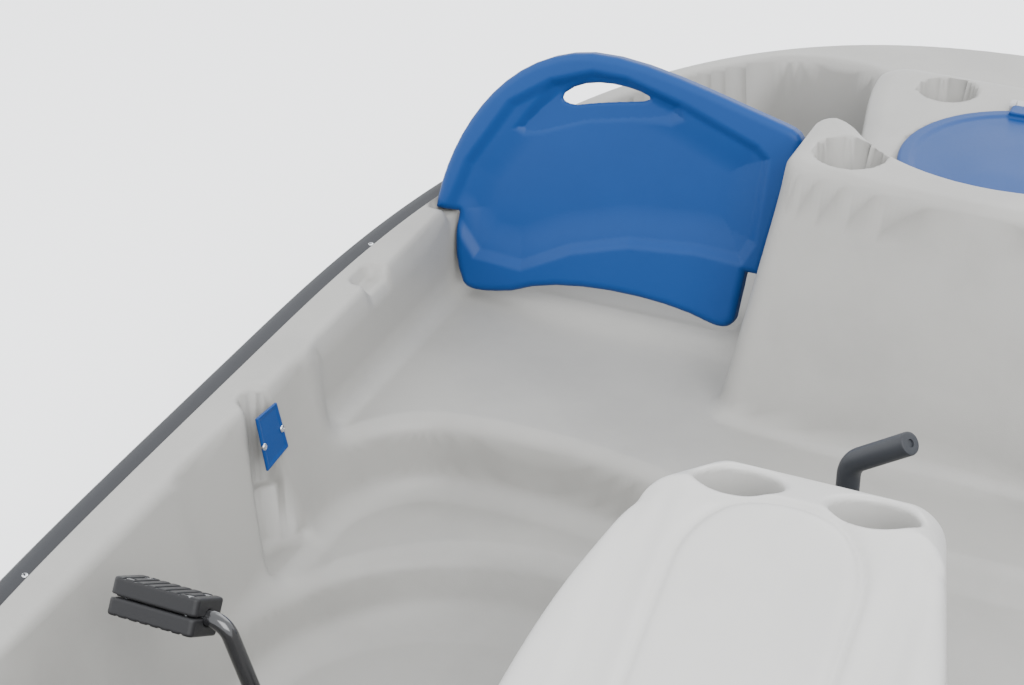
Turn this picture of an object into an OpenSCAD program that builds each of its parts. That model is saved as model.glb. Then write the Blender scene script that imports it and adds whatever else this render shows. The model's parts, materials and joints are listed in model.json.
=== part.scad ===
// Five-seat pedal boat: moulded hull and deck, a paddle wheel under a centre
// cover, two pairs of pedals, lift-out seat backs, a cooler and a tiller.
// +Z is up, the bow points to -Y and the starboard side is -X.
// The origin is on the ground, below the centre of the boat.

/* [Boat] */
// Overall length, over the rub rail
boat_l = 2350; // [2150:10:2600]
// Overall beam, over the rub rail
boat_b = 1650; // [1560:10:1900]
// Height of the gunwale above the ground
gunwale_z = 400; // [385:5:430]
// Height of the joint between hull and deck
seam_z = 372; // [366:1:378]
// Wall thickness of the hull and deck mouldings
wall = 6; // [4:0.5:8]
// Fullness of the bow in plan
bow_full = 5; // [4:0.5:6]
// Fullness of the stern in plan
stern_full = 2.5; // [2.4:0.1:4]

/* [Rub rail] */
// Width of the rub rail outside the moulded flange
rail_out = 6; // [4:1:10]
// Height of the rub rail
rail_h = 40; // [34:1:44]
// Width of the bonded flange under the rail
flange_w = 12; // [8:1:14]
// Thickness of each of the two flanges
flange_t = 5; // [3:0.5:6]

/* [Cockpit] */
// Height of the bench
bench_z = 272; // [255:1:285]
// Place of the bench's front edge
bench_front_y = 30; // [0:5:50]
// Height of the foot step
step_z = 175; // [150:5:200]
// Place of the step's front edge
step_front_y = -290; // [-330:5:-250]
// Height of the footwell floor
floor_z = 92; // [80:1:110]
// Place of the footwell's front end
foot_front_y = -960; // [-990:5:-900]
// Half width of the centre bridge between the footwells
bridge_half = 245; // [235:5:255]
// Height of the bridge that carries the wheel cover
bridge_z = 245; // [235:1:250]
// Width of the gunwale's flat top
gunwale_w = 26; // [18:1:34]

/* [Centre seat] */
// Height of the centre seat's moulded back
hump_z = 602; // [580:2:640]
// Half width of the moulded back
hump_half = 256; // [252:1:262]
// Place of the front of the moulded back, at its top
hump_front_y = 312; // [300:2:330]
// Place of the rear of the moulded back
hump_rear_y = 484; // [476:1:488]
// Height of the stern deck round the cooler
aft_z = 505; // [495:1:515]
// Half width of the stern deck
aft_half = 226; // [222:1:232]

/* [Cup holders] */
// Radius of the cup holders behind the centre seat
cup_r = 44; // [38:1:48]
// Radius of the stern cup holders
aft_cup_r = 42; // [36:1:44]
// Depth of the cup holders
cup_depth = 62; // [40:2:80]

/* [Cooler] */
// Radius of the cooler lid
lid_r = 184; // [170:1:186]
// Place of the lid's centre along the boat
lid_y = 622; // [615:1:630]
// Thickness of the lid
lid_t = 12; // [8:1:16]
// Height of the cooler's floor
cooler_floor_z = 268; // [262:2:330]

/* [Seat backs] */
// Recline of the seat backs
seat_recline = 15; // [12:1:16]
// Thickness of a seat back
seat_t = 30; // [24:1:32]
// Place of a seat back's middle across the boat
seat_x = 515; // [510:1:520]
// Place of a seat back's front face along the boat, at its foot
seat_y = 375; // [370:1:380]

/* [Pedals] */
// Place of the crank axis along the boat
crank_y = -560; // [-580:5:-540]
// Height of the crank axis
crank_z = 288; // [284:1:294]
// Throw of the cranks
crank_throw = 118; // [100:2:124]
// Radius of the crank rod
rod_r = 9.5; // [8:0.5:11]
// Length of a pedal
pedal_l = 104; // [90:2:108]
// Width of a pedal
pedal_w = 62; // [50:2:76]
// Thickness of a pedal
pedal_t = 42; // [32:1:48]
// Gap between the two halves of a pedal
pedal_gap = 1; // [0.5:0.1:3]
// Lean of the pedals towards the rider at rest
pedal_lean = 33; // [0:1:45]
// Place of the inner pedal across the boat
pedal_in_x = 400; // [394:1:404]
// Place of the outer pedal across the boat
pedal_out_x = 627; // [622:1:632]

/* [Paddle wheel] */
// Radius of the paddle wheel
wheel_r = 200; // [170:2:204]
// Half width of the paddle wheel
wheel_half = 98; // [80:1:104]
// Number of paddles
paddle_n = 6; // [4:1:8]
// Half width of the wheel tunnel
tunnel_half = 124; // [120:1:130]

/* [Steering] */
// Place of the tiller post along the boat
tiller_y = -182; // [-190:1:-174]
// Height of the tiller post's bend
tiller_z = 528; // [480:2:560]
// Radius of the tiller tube
tiller_r = 13; // [11:0.5:14]
// Length of the tiller's hand grip
grip_l = 88; // [70:2:110]
// Length of the two steering arms
arm_l = 60; // [50:1:66]
// Height of the steering arms' upper face
arm_z = 214; // [206:1:216]
// Place of the rudder stock along the boat
rudder_y = 1010; // [1000:1:1020]
// Length of the rudder blade behind its stock
rudder_l = 125; // [100:1:130]

/* [Fits] */
// Running clearance round a turning rod
run_gap = 0.08; // [0.03:0.01:0.1]
// Clearance between pieces that only lie side by side
near_gap = 0.3; // [0.2:0.05:0.5]

/* [Hidden] */

$fn = 48;
deck_grey = [0.80, 0.79, 0.77];
blue = [0.10, 0.32, 0.60];
dark = [0.13, 0.13, 0.14];
steel = [0.62, 0.63, 0.65];
through = 900;

// Half axes of the plan outline, before its flange and rail
rail_inset = flange_w + rail_out;
crank_side_x = 300;
web_x = (pedal_in_x + pedal_out_x) / 2;
pin_gap = 0.4;
seat_foot = [seat_y, 300];

// Height of the gunwale's inner ledge that carries the seat backs' ears
ledge_z = seam_z + 9;

// One point of a rounded-rectangle-like outline, moved inwards by inset
function half_power(v, p) = sign(v) * pow(abs(v), p);
function hull_point(angle, inset) =
  let (
    full = sin(angle) < 0 ? bow_full : stern_full,
    x = boat_b / 2 * half_power(cos(angle), 2 / full),
    y = boat_l / 2 * half_power(sin(angle), 2 / full),
    nx = half_power(x / (boat_b / 2), full - 1) / (boat_b / 2),
    ny = half_power(y / (boat_l / 2), full - 1) / (boat_l / 2),
    n = norm([nx, ny])
  )
  [x - inset * nx / n, y - inset * ny / n];
function hull_outline(inset, count = 48) =
  [for (i = [0:count - 1]) hull_point(360 * i / count, inset)];

// Slab of the boat's outline between two heights
module slab(inset, low, high, count = 48) {
  translate([0, 0, low])
    linear_extrude(high - low) polygon(hull_outline(inset, count));
}

// Flat ring that follows the boat's outline
module outline_ring(outer, inner, low, high) {
  translate([0, 0, low])
    linear_extrude(high - low)
      difference() {
        polygon(hull_outline(outer));
        polygon(hull_outline(inner));
      }
}

// Corner points of a rounded rectangle b = [x0, x1, y0, y1], grown by
// grow = [at x0, at x1, at y0, at y1]
function round_box(b, grow, r, steps = 3) =
  let (x0 = b[0] - grow[0] + r, x1 = b[1] + grow[1] - r, y0 = b[2] - grow[2] + r, y1 = b[3] + grow[3] - r)
  [for (c = [[x1, y1, 0], [x0, y1, 90], [x0, y0, 180], [x1, y0, 270]])
    for (i = [0:steps]) [c[0] + r * cos(c[2] + 90 * i / steps), c[1] + r * sin(c[2] + 90 * i / steps)]];

module box_plate(b, grow, r, z, h) {
  translate([0, 0, z]) linear_extrude(h) polygon(round_box(b, grow, r));
}

// Thickness of the slices that hulls are made of
slice_t = 0.4;

module box_slice(b, grow, r, z) {
  translate([0, 0, z])
    linear_extrude(slice_t)
      polygon(round_box(b, is_list(grow) ? grow : [grow, grow, grow, grow], r));
}

// Height of the rounded foot of a well's walls
well_fillet = 26;

// Well with leaning walls: b is its floor, lean its growth on the four sides up
// to the height z1, and t the amount by which the whole well is grown
module well(b, z0, z1, lean, r, t) {
  fillet = min(well_fillet, r * 0.6);
  grow = [t, t, t, t];
  hull() {
    box_slice(b, grow - fillet * 0.7 * [1, 1, 1, 1], max(4, r - fillet * 0.7 + t), z0 - t);
    box_slice(b, grow, r + t, z0 - t + fillet);
    box_slice(b, grow + lean, r + max(lean) * 0.6 + t, z1);
  }
}

// Raised block with leaning walls and a rounded top edge, shrunk by t
module mound(b, z0, z1, lean, r, t, edge = 14) {
  hull() {
    box_slice(b, lean - t, r + lean * 0.4, z0);
    box_slice(b, -t, r, z1 - t - edge);
    box_slice(b, -t - edge * 0.3, r, z1 - t - edge * 0.3);
    box_slice(b, -t - edge, max(2, r - edge), z1 - t - slice_t);
  }
}

module both_sides() {
  children();
  mirror([1, 0, 0]) children();
}

module both_in_x(x) {
  for (side = [-1, 1]) translate([side * x, 0, 0]) children();
}

// ---- Seat back frame: x across, v up the reclined face, depth behind it ----
module on_seat_plane(side) {
  translate([side * seat_x, seat_foot[0], seat_foot[1]])
    rotate([-seat_recline, 0, 0])
      rotate([90, 0, 0])
        mirror([0, 0, 1]) children();
}

// Point of a cubic curve through four controls
function curve_point(p, s) =
  pow(1 - s, 3) * p[0] + 3 * pow(1 - s, 2) * s * p[1] + 3 * (1 - s) * s * s * p[2] + pow(s, 3) * p[3];
function curve(p, steps) = [for (i = [0:steps - 1]) curve_point(p, i / steps)];

// Height of the ears' lower edge up the face, so that they rest on the ledge
ear_v = (ledge_z + near_gap - seat_foot[1] + seat_t * sin(seat_recline)) / cos(seat_recline);

// Outline of the starboard seat back, clockwise from its outer ear
function seat_outline() = concat(
  curve([[-256, ear_v], [-252, 180], [-190, 330], [-52, 345]], 14),
  curve([[-52, 345], [20, 352], [120, 322], [226, 297]], 6),
  curve([[226, 297], [248, 292], [256, 284], [252, 262]], 5),
  [[222, ear_v], [200, ear_v]],
  curve([[194, 24], [190, 10], [178, 8], [160, 12]], 5),
  curve([[160, 12], [90, 34], [-60, 34], [-130, -4]], 8),
  curve([[-130, -4], [-170, -14], [-196, -18], [-204, -6]], 5),
  curve([[-204, -6], [-218, 20], [-222, 40], [-223, ear_v - 8]], 4),
  [[-223, ear_v]]
);

// Slotted outline of the hand hole in the seat back
function handle_outline() = concat(
  curve([[-92, 284], [-100, 268], [-84, 266], [-70, 267]], 4),
  curve([[-70, 267], [-40, 276], [0, 284], [24, 288]], 4),
  curve([[24, 288], [44, 292], [44, 302], [20, 307]], 4),
  curve([[20, 307], [-20, 314], [-70, 312], [-92, 284]], 6)
);

module seat_back(side) {
  on_seat_plane(side)
    mirror([side > 0 ? 1 : 0, 0, 0])
      linear_extrude(seat_t)
        difference() {
          polygon(seat_outline());
          polygon(handle_outline());
        }
}

module seat_back_starboard() {
  color(blue) seat_back(-1);
}

module seat_back_port() {
  color(blue) seat_back(1);
}

// ---- Hull ----
hull_top_inset = rail_inset + 2;
keel_half = 150;
keel_z = 58;
tunnel_fore_y = crank_y - 222;
tunnel_aft_y = crank_y + 222;
notch_half = 112;
notch_fore_y = rudder_y - 42;
notch_z = 150;

// Outer form of the hull with its channels, shrunk by t
module hull_form(t) {
  top = seam_z - flange_t;
  difference() {
    hull() {
      slab(hull_top_inset + t, top, top + (t > 0 ? 1 : 0.001));
      slab(hull_top_inset + 10 + t, 190, 190.01);
      slab(hull_top_inset + 44 + t, 58 + t * 0.6, 58.01 + t * 0.6);
      slab(hull_top_inset + 120 + t, t, t + 0.01);
    }
    // Water channel between the two sponsons
    hull() {
      translate([-keel_half - t, -boat_l, -1]) cube([2 * (keel_half + t), 2 * boat_l, 1]);
      translate([-keel_half * 0.55 - t, -boat_l, keel_z + t])
        cube([2 * (keel_half * 0.55 + t), 2 * boat_l, 0.01]);
    }
    // Tunnel for the paddle wheel
    translate([-tunnel_half - t, tunnel_fore_y - t, -1])
      cube([2 * (tunnel_half + t), tunnel_aft_y - tunnel_fore_y + 2 * t, through]);
    // Recess for the rudder
    translate([-notch_half - t, notch_fore_y - t, -1])
      cube([2 * (notch_half + t), boat_l, notch_z + t + 1]);
  }
}

module hull_bottom() {
  color(deck_grey)
    difference() {
      union() {
        difference() {
          hull_form(0);
          hull_form(wall);
        }
        outline_ring(rail_out, hull_top_inset + 1, seam_z - flange_t, seam_z);
        // Seat for the rudder's bush
        translate([0, rudder_y, notch_z])
          cylinder(r = rudder_bush_r + 8, h = wall + 4);
      }
      // The tunnel's walls stop below the bridge
      translate([-bridge_half, tunnel_fore_y - 40, bridge_z - wall])
        cube([2 * bridge_half, tunnel_aft_y - tunnel_fore_y + 80, through]);
      translate([0, rudder_y, notch_z - 1]) cylinder(r = rudder_bush_r, h = 60);
      translate([drain_x, 0, drain_z]) rotate([-90, 0, 0]) cylinder(r = drain_r, h = boat_l);
      rail_screw_places() translate([0, 0, -60]) cylinder(r = 2.2, h = 90, $fn = 8);
    }
}

drain_x = 300;
drain_z = 150;
drain_r = 14;

// Distance along the boat to the hull's outside at the drain
function stern_y(x, inset) =
  boat_l / 2 * pow(1 - pow(x / (boat_b / 2), stern_full), 1 / stern_full) - inset;

module drain_plug() {
  color(dark)
    translate([drain_x, stern_y(drain_x, hull_top_inset + 20), drain_z])
      rotate([-90, 0, 0]) {
        translate([0, 0, -24]) cylinder(r = drain_r - near_gap, h = 40);
        translate([0, 0, 11]) cylinder(r = drain_r + 7, h = 7);
      }
}

// ---- Deck ----
foot_x0 = bridge_half + 14;
side_x1 = boat_b / 2 - rail_inset - gunwale_w - 30;
rear_y1 = 940;
well_z = hump_z + 40;
step_in = 50;
step_lean = 80;
lid_front_y = hump_rear_y + 8;
notch_y = seat_y + 38;
notch_w = seat_t + 18;
spare_notch_y = notch_y - 235;
rod_y = -150;
rod_x = side_x1 - 4;
rod_tube_r = 16;
cup_x = 179;
cup_y = (hump_front_y + hump_rear_y) / 2 - 10;
aft_cup_x = 160;
aft_cup_y = 822;
tiller_bush_r = tiller_r + 4;
rudder_bush_r = 16;

// Deck up to the gunwale, before its wells are cut, shrunk by t
module deck_slab(t) {
  hull() {
    slab(rail_inset + 2 + t, -40 - t, gunwale_z - 8 - t);
    slab(rail_inset + 9 + t, gunwale_z - t - 1, gunwale_z - t);
  }
  // Raised quarters round the rear seats
  intersection() {
    hull() {
      slab(rail_inset + 16 + t, 300, gunwale_z);
      slab(rail_inset + 30 + t, gunwale_z + 45 - t, gunwale_z + 46 - t);
    }
    hull() {
      translate([-boat_b, 540 + t, 200]) cube([2 * boat_b, boat_l, 100]);
      translate([-boat_b, 690 + t, 200]) cube([2 * boat_b, boat_l, 300 + t]);
    }
  }
}

// Centre seat's back and the stern deck, which stand up from the wells, shrunk by t
module deck_mounds(t) {
  shoulder = hump_half + 54;
  mound([-shoulder, shoulder, hump_front_y - 100, hump_rear_y - 4], bench_z - 40, ledge_z, 0, 30, t, 10);
  hull() {
    box_slice([-hump_half - 30, hump_half + 30, hump_front_y - 62, hump_rear_y], -t, 24, ledge_z - 12);
    box_slice([-hump_half - 2, hump_half + 2, hump_front_y - 4, hump_rear_y], -t, 22, hump_z - 60);
    box_slice([-hump_half, hump_half, hump_front_y, hump_rear_y], -t, 22, hump_z - 12 - t);
    box_slice([-hump_half, hump_half, hump_front_y, hump_rear_y], -t - 12, 12, hump_z - t - slice_t);
  }
  mound([-aft_half, aft_half, hump_rear_y - 40, 1010], bench_z - 40, aft_z, 6, 40, t);
  hull() {
    box_slice([-aft_half, aft_half, 700, 1000], -t, 40, aft_z - 20 - t);
    box_slice([-aft_half - 10, aft_half + 10, 700, 1110], -t, 40, gunwale_z - 10 - t);
  }
}

// The wells, grown by t; a well leans [starboard, port, fore, aft]
module deck_wells(t) {
  both_sides() {
    // Footwell, the step behind it, and the rear footwell
    well([foot_x0, side_x1 - 70, foot_front_y + 60, step_front_y], floor_z, well_z, [26, 110, 90, 24], 56, t);
    well([foot_x0, side_x1 - step_in, step_front_y - 60, bench_front_y - 8],
      step_z, well_z, [20, step_lean, 10, 20], 56, t);
    well([aft_half + 40, 560, 700, rear_y1 - 60], floor_z + 50, bench_z + 20, [10, 16, 16, 16], 60, t);
  }
  // Bridge between the footwells
  well([-bridge_half - 20, bridge_half + 20, foot_front_y, bench_front_y - 10],
    bridge_z, well_z, [10, 10, 60, 20], 40, t);
  // Bench and rear bench
  well([-side_x1 + 14, side_x1 - 14, bench_front_y - 60, 700], bench_z, well_z, [34, 34, 0, 0], 40, t);
  well([-side_x1 + 20, side_x1 - 20, 480, rear_y1], bench_z - 6, well_z, [34, 34, 0, 40], 60, t);
}

// Small pockets of one side, grown by t
module side_pockets(t) {
  // Notches for the seat back's outer ear, in use and spare
  for (y = [notch_y, spare_notch_y])
    translate([side_x1 - 20 - t, y - notch_w / 2 - t, ledge_z - t])
      cube([46 + 2 * t, notch_w + 2 * t, 120]);
  // Channel and cup of the rod holder
  translate([rod_x, rod_y, bench_z - 8 - t]) cylinder(r = rod_tube_r + 4 + t, h = 260);
  translate([rod_x - 36, rod_y - 16, bench_z - 8 - t]) cylinder(r = 36 + t, h = 60 + 2 * t);
}

// Deck with all its walls t further in
module deck_form(t) {
  difference() {
    union() {
      difference() {
        deck_slab(t);
        intersection() {
          slab(rail_inset + gunwale_w - t, 0, 2 * through);
          deck_wells(t);
        }
      }
      deck_mounds(t);
    }
    both_sides() side_pockets(t);
    // Cooler and the recess for its lid
    intersection() {
      translate([0, lid_y, cooler_floor_z - t]) cylinder(r = lid_r - 18 + t, h = 400);
      translate([-300, lid_front_y + 12 - t, 0]) cube([600, 600, 900]);
    }
    intersection() {
      translate([0, lid_y, aft_z - lid_t - t]) cylinder(r = lid_r + 2 + t, h = 60);
      translate([-300, lid_front_y - 2 - t, 0]) cube([600, 600, 900]);
    }
    // Cup holders
    both_in_x(cup_x) translate([0, cup_y, hump_z - cup_depth - t]) cylinder(r = cup_r + t, h = 200);
    both_in_x(aft_cup_x) translate([0, aft_cup_y, aft_z - cup_depth - t]) cylinder(r = aft_cup_r + t, h = 200);
  }
}

module deck() {
  $fn = 28;
  color(deck_grey)
    difference() {
      union() {
        difference() {
          deck_form(0);
          deck_form(wall);
          // Everything outside the wells below the seam
          outline_ring(-20, rail_inset + 18, -100, seam_z + 1);
        }
        outline_ring(rail_out, rail_inset + 12, seam_z, seam_z + flange_t);
      }
      // Opening over the paddle wheel
      translate([-tunnel_half, tunnel_fore_y, 0])
        cube([2 * tunnel_half, tunnel_aft_y - tunnel_fore_y, 600]);
      // Hole for the tiller's bush
      translate([0, tiller_y, bridge_z - 40]) cylinder(r = tiller_bush_r, h = 80);
      // Screw holes for the wheel cover, the bearings, the rod plates and the lid
      cover_screw_places() translate([0, 0, -12]) cylinder(r = 2.2, h = 24, $fn = 8);
      bearing_screw_places() translate([0, 0, -12]) cylinder(r = 2.7, h = 24, $fn = 8);
      hinge_places() translate([0, 0, -12]) cylinder(r = 2.2, h = 24, $fn = 8);
      rail_screw_places() translate([0, 0, -60]) cylinder(r = 2.2, h = 90, $fn = 8);
      both_sides() on_rod_plate() plate_holes();
    }
}

// ---- Rub rail ----
module rub_rail() {
  color(dark)
    difference() {
      union() {
        outline_ring(0, rail_inset + 1.5, seam_z - rail_h / 2, seam_z - flange_t);
        outline_ring(0, rail_out, seam_z - flange_t, seam_z + flange_t);
        outline_ring(0, rail_inset + 1.5, seam_z + flange_t, seam_z + rail_h / 2);
      }
      rail_screw_places() {
        translate([0, 0, -30]) cylinder(r = 2.2, h = 60);
        translate([0, 0, -3]) cylinder(r = 5, h = 10);
      }
    }
}
module rail_screw_places() {
  for (i = [0:19]) {
    p = hull_point(360 * i / 20 + 9, rail_inset - 4);
    translate([p[0], p[1], seam_z + rail_h / 2]) children();
  }
}

// Pan-head screw that points down from the origin
module pan_screw(r, length, head_r, head_h) {
  translate([0, 0, -length]) cylinder(r = r, h = length + 0.5);
  cylinder(r = head_r, h = head_h * 0.6);
  translate([0, 0, head_h * 0.6]) cylinder(r = head_r * 0.8, h = head_h * 0.4);
}

module rail_screws() {
  color(steel) rail_screw_places() translate([0, 0, -3]) pan_screw(2, 26, 4.4, 2.4);
}

// ---- Foam under the benches ----
module foam_blocks() {
  color("white")
    both_in_x(470) translate([-90, bench_front_y + 50, bench_z - wall - near_gap - 84]) cube([180, 360, 84]);
}

// ---- Wheel cover ----
cover_fore_y = -930;
cover_aft_y = tiller_y - 80;
cover_flange = 18;
cover_ridge_y = -390;
cover_ridge_z = 598;
cover_base_half = 226;
cover_cup_x = 70;
cover_cup_y = -338;

// Outer form of the cover, shrunk by t
module cover_form(t) {
  hull() {
    box_slice([-cover_base_half, cover_base_half, cover_fore_y, cover_aft_y], -t, 60, bridge_z + near_gap - (t > 0 ? 1 : 0));
    box_slice([-cover_base_half + 6, cover_base_half - 6, cover_fore_y + 60, cover_aft_y], -t, 70, bridge_z + 70 - t);
    box_slice([-200, 200, -700, cover_aft_y - 8], -t, 60, 484 - t);
    for (side = [-1, 1]) {
      translate([side * 122, cover_ridge_y, cover_ridge_z - 14]) sphere(r = 14 - t, $fn = 16);
      translate([side * 132, cover_aft_y - 26, 548]) sphere(r = 16 - t, $fn = 16);
    }
  }
}

module cover_cup(t) {
  both_in_x(cover_cup_x)
    translate([0, cover_cup_y, 508 - t])
      cylinder(r = 43 + t, h = 200);
}

module wheel_cover() {
  color([0.88, 0.88, 0.87])
    difference() {
      union() {
        difference() {
          cover_form(0);
          difference() {
            cover_form(4);
            cover_cup(4);
          }
        }
        // Flange for the screws
        difference() {
          box_plate([-cover_base_half, cover_base_half, cover_fore_y, cover_aft_y],
            [cover_flange, cover_flange, cover_flange - 6, 0], 60, bridge_z + near_gap, 5);
          box_plate([-cover_base_half, cover_base_half, cover_fore_y, cover_aft_y],
            [-8, -8, -8, -8], 52, bridge_z - 1, 10);
        }
      }
      cover_cup(0);
      // Arches over the crankshaft's bearings
      both_in_x(cover_base_half - 24) translate([-60, crank_y - 52, 0]) cube([120, 104, crank_z + 40]);
      cover_screw_places() translate([0, 0, -5]) cylinder(r = 2.2, h = 30);
    }
}

module cover_screw_places() {
  for (y = [cover_fore_y + 80, -740, cover_aft_y - 60])
    both_in_x(cover_base_half + cover_flange / 2) translate([0, y, bridge_z + near_gap]) children();
}

module cover_screws() {
  color(steel) cover_screw_places() translate([0, 0, 5]) pan_screw(2, 20, 4.4, 2.6);
}

// ---- Cooler lid ----
hinge_x = 46;
hinge_y = lid_y + lid_r - 14;
hinge_z = aft_z + 7;

module cooler_lid() {
  color(blue)
    difference() {
      union() {
        intersection() {
          translate([0, lid_y, aft_z - lid_t + near_gap]) cylinder(r = lid_r, h = lid_t, $fn = 72);
          translate([-300, lid_front_y, 0]) cube([600, hinge_y - 16 - lid_front_y, 900]);
        }
        // Knuckles between the hinges' ears
        both_in_x(hinge_x) translate([-12, 0, 0]) {
          translate([0, hinge_y, hinge_z]) rotate([0, 90, 0]) cylinder(r = 5, h = 24);
          translate([0, hinge_y - 26, aft_z + near_gap]) cube([24, 26, 4]);
        }
        // Rib that keeps the lid in place
        intersection() {
          translate([0, lid_y, aft_z - lid_t - 10]) difference() {
            cylinder(r = lid_r - 22, h = 12, $fn = 72);
            translate([0, 0, -1]) cylinder(r = lid_r - 26, h = 14, $fn = 72);
          }
          translate([-300, lid_front_y + 24, 0]) cube([600, hinge_y - 50 - lid_front_y, 900]);
        }
      }
      both_in_x(hinge_x) translate([-20, hinge_y, hinge_z]) rotate([0, 90, 0]) cylinder(r = 2 + run_gap, h = 40);
    }
}

module hinge_places() {
  both_in_x(hinge_x) translate([0, hinge_y + 18, aft_z + near_gap]) children();
}

module lid_hinges() {
  color([0.6, 0.6, 0.6])
    difference() {
      both_in_x(hinge_x) {
        translate([-20, hinge_y + 8, aft_z]) cube([40, 20, 4]);
        for (x = [-20, 12.5]) {
          translate([x, hinge_y, hinge_z]) rotate([0, 90, 0]) cylinder(r = 5, h = 7.5);
          translate([x, hinge_y, aft_z]) cube([7.5, 10, 12]);
          translate([x, hinge_y - 5, hinge_z - 5]) cube([7.5, 12, 5]);
        }
      }
      both_in_x(hinge_x) translate([-21, hinge_y, hinge_z]) rotate([0, 90, 0]) cylinder(r = 2, h = 42);
      hinge_places() translate([0, 0, -5]) cylinder(r = 2.2, h = 20);
    }
}

module lid_hinge_pins() {
  color(steel)
    both_in_x(hinge_x) {
      translate([-20.5, hinge_y, hinge_z]) rotate([0, 90, 0]) cylinder(r = 2, h = 41);
      translate([0, hinge_y + 18, aft_z + 4]) pan_screw(2, 14, 3.8, 2);
    }
}

// ---- Rod holder plates ----
plate_w = 58;
plate_h = 76;
plate_z = 316;
plate_t = 4;
plate_slope = step_lean / (well_z - step_z - well_fillet);
plate_x = side_x1 - step_in + (plate_z - step_z - well_fillet) * plate_slope
  - plate_t * norm([1, plate_slope]) - near_gap;

module on_rod_plate() {
  translate([plate_x, rod_y - 4, plate_z]) rotate([0, atan(plate_slope), 0]) children();
}

module plate_holes() {
  for (y = [-22, 22]) translate([-8, y, 34]) rotate([0, 90, 0]) cylinder(r = 2.2, h = 30);
}

module rod_plates() {
  color(blue)
    both_sides() on_rod_plate()
      difference() {
        rotate([90, 0, 90]) linear_extrude(plate_t) polygon([[-29, 0], [29, 4], [26, 72], [-26, 76]]);
        plate_holes();
      }
}

module rod_plate_screws() {
  color(steel)
    both_sides() on_rod_plate()
      for (y = [-22, 22]) translate([0, y, 34]) rotate([0, -90, 0]) pan_screw(2, 16, 4.4, 2.4);
}

// ---- Crank and its bearings ----
bend_r = 24;
bearing_x = 168;
bearing_w = 34;
bearing_l = 88;
collar_w = 6;
collar_r = rod_r + 4;

// Geometry of a bent rod through points p in the x-y plane
function rod_dir(p, i) = (p[i + 1] - p[i]) / norm(p[i + 1] - p[i]);
function rod_turn(p, i) = let (a = rod_dir(p, i - 1), b = rod_dir(p, i)) atan2(a[0] * b[1] - a[1] * b[0], a * b);
function rod_cut(p, i, bend) = (i == 0 || i == len(p) - 1) ? 0 : bend * tan(abs(rod_turn(p, i)) / 2);

// Places [x, y, heading] along the rod, with steps in each bend
function rod_places(p, bend, steps) = concat(
  [[p[0][0], p[0][1], atan2(rod_dir(p, 0)[1], rod_dir(p, 0)[0])]],
  [for (i = [1:1:len(p) - 2], k = [0:steps])
    let (
      before = rod_dir(p, i - 1),
      heading = atan2(before[1], before[0]),
      side = sign(rod_turn(p, i)),
      start = p[i] - before * rod_cut(p, i, bend),
      centre = start + side * bend * [-before[1], before[0]],
      now = heading + rod_turn(p, i) * k / steps
    )
    [centre[0] + side * bend * sin(now), centre[1] - side * bend * cos(now), now]],
  [[p[len(p) - 1][0], p[len(p) - 1][1], atan2(rod_dir(p, len(p) - 2)[1], rod_dir(p, len(p) - 2)[0])]]
);

// Bent rod: a faceted core with a true cylinder on each straight stretch
module bent_rod(p, r, bend, sides = 16, steps = 5) {
  places = rod_places(p, bend, steps);
  core = r - 0.1;
  last = len(places) - 1;
  polyhedron(
    points = [for (c = places, k = [0:sides - 1]) let (a = 360 * k / sides)
      [c[0] - core * cos(a) * sin(c[2]), c[1] + core * cos(a) * cos(c[2]), core * sin(a)]],
    faces = concat(
      [[for (k = [0:sides - 1]) k]],
      [for (i = [0:last - 1], k = [0:sides - 1]) let (n = (k + 1) % sides)
        [i * sides + k, (i + 1) * sides + k, (i + 1) * sides + n, i * sides + n]],
      [[for (k = [0:sides - 1]) last * sides + sides - 1 - k]]
    )
  );
  for (i = [0:len(p) - 2]) {
    lap0 = i == 0 ? 0 : 0.6;
    lap1 = i == len(p) - 2 ? 0 : 0.6;
    start = p[i] + rod_dir(p, i) * (rod_cut(p, i, bend) - lap0);
    translate([start[0], start[1], 0])
      rotate([0, 0, atan2(rod_dir(p, i)[1], rod_dir(p, i)[0])]) rotate([0, 90, 0])
        cylinder(r = r, h = norm(p[i + 1] - p[i]) - rod_cut(p, i, bend) - rod_cut(p, i + 1, bend) + lap0 + lap1);
  }
}

// Centre line of the crankshaft from the starboard end to the port end
function crank_half() =
  let (
    clear = bend_r * tan(36) + 3,
    in0 = pedal_in_x - pedal_l / 2 - clear,
    in1 = pedal_in_x + pedal_l / 2 + clear,
    out0 = pedal_out_x - pedal_l / 2 - clear,
    tip = pedal_out_x + pedal_l / 2 - 8
  )
  [[in0 - 44, 0], [in0, -crank_throw], [in1, -crank_throw], [out0, crank_throw], [tip, crank_throw]];
function crank_points() = let (half = crank_half(), n = len(half) - 1)
  concat([for (i = [0:n]) [-half[n - i][0], half[n - i][1]]], [for (p = half) [p[0], -p[1]]]);

// The four pedals: side of the boat, place across it and height of the crank pin
module on_pedal(side, outer) {
  translate([
    side * (outer ? pedal_out_x : pedal_in_x),
    crank_y,
    crank_z + crank_throw * (outer ? -side : side)
  ])
    mirror([side > 0 ? 1 : 0, 0, 0]) children();
}

module crankshaft() {
  color(dark)
    difference() {
      union() {
        translate([0, crank_y, crank_z]) rotate([90, 0, 0]) bent_rod(crank_points(), rod_r, bend_r);
        for (side = [-1, 1], outer = [false, true])
          on_pedal(side, outer) rotate([0, 90, 0]) translate([0, 0, -collar_w / 2])
            cylinder(r = collar_r, h = collar_w);
      }
      wheel_pin_places() translate([0, 0, -30]) cylinder(r = 3 + run_gap, h = 60);
    }
}

module bearing_screw_places() {
  for (y = [-33, 33]) both_in_x(bearing_x) translate([0, crank_y + y, bridge_z]) children();
}

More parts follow.
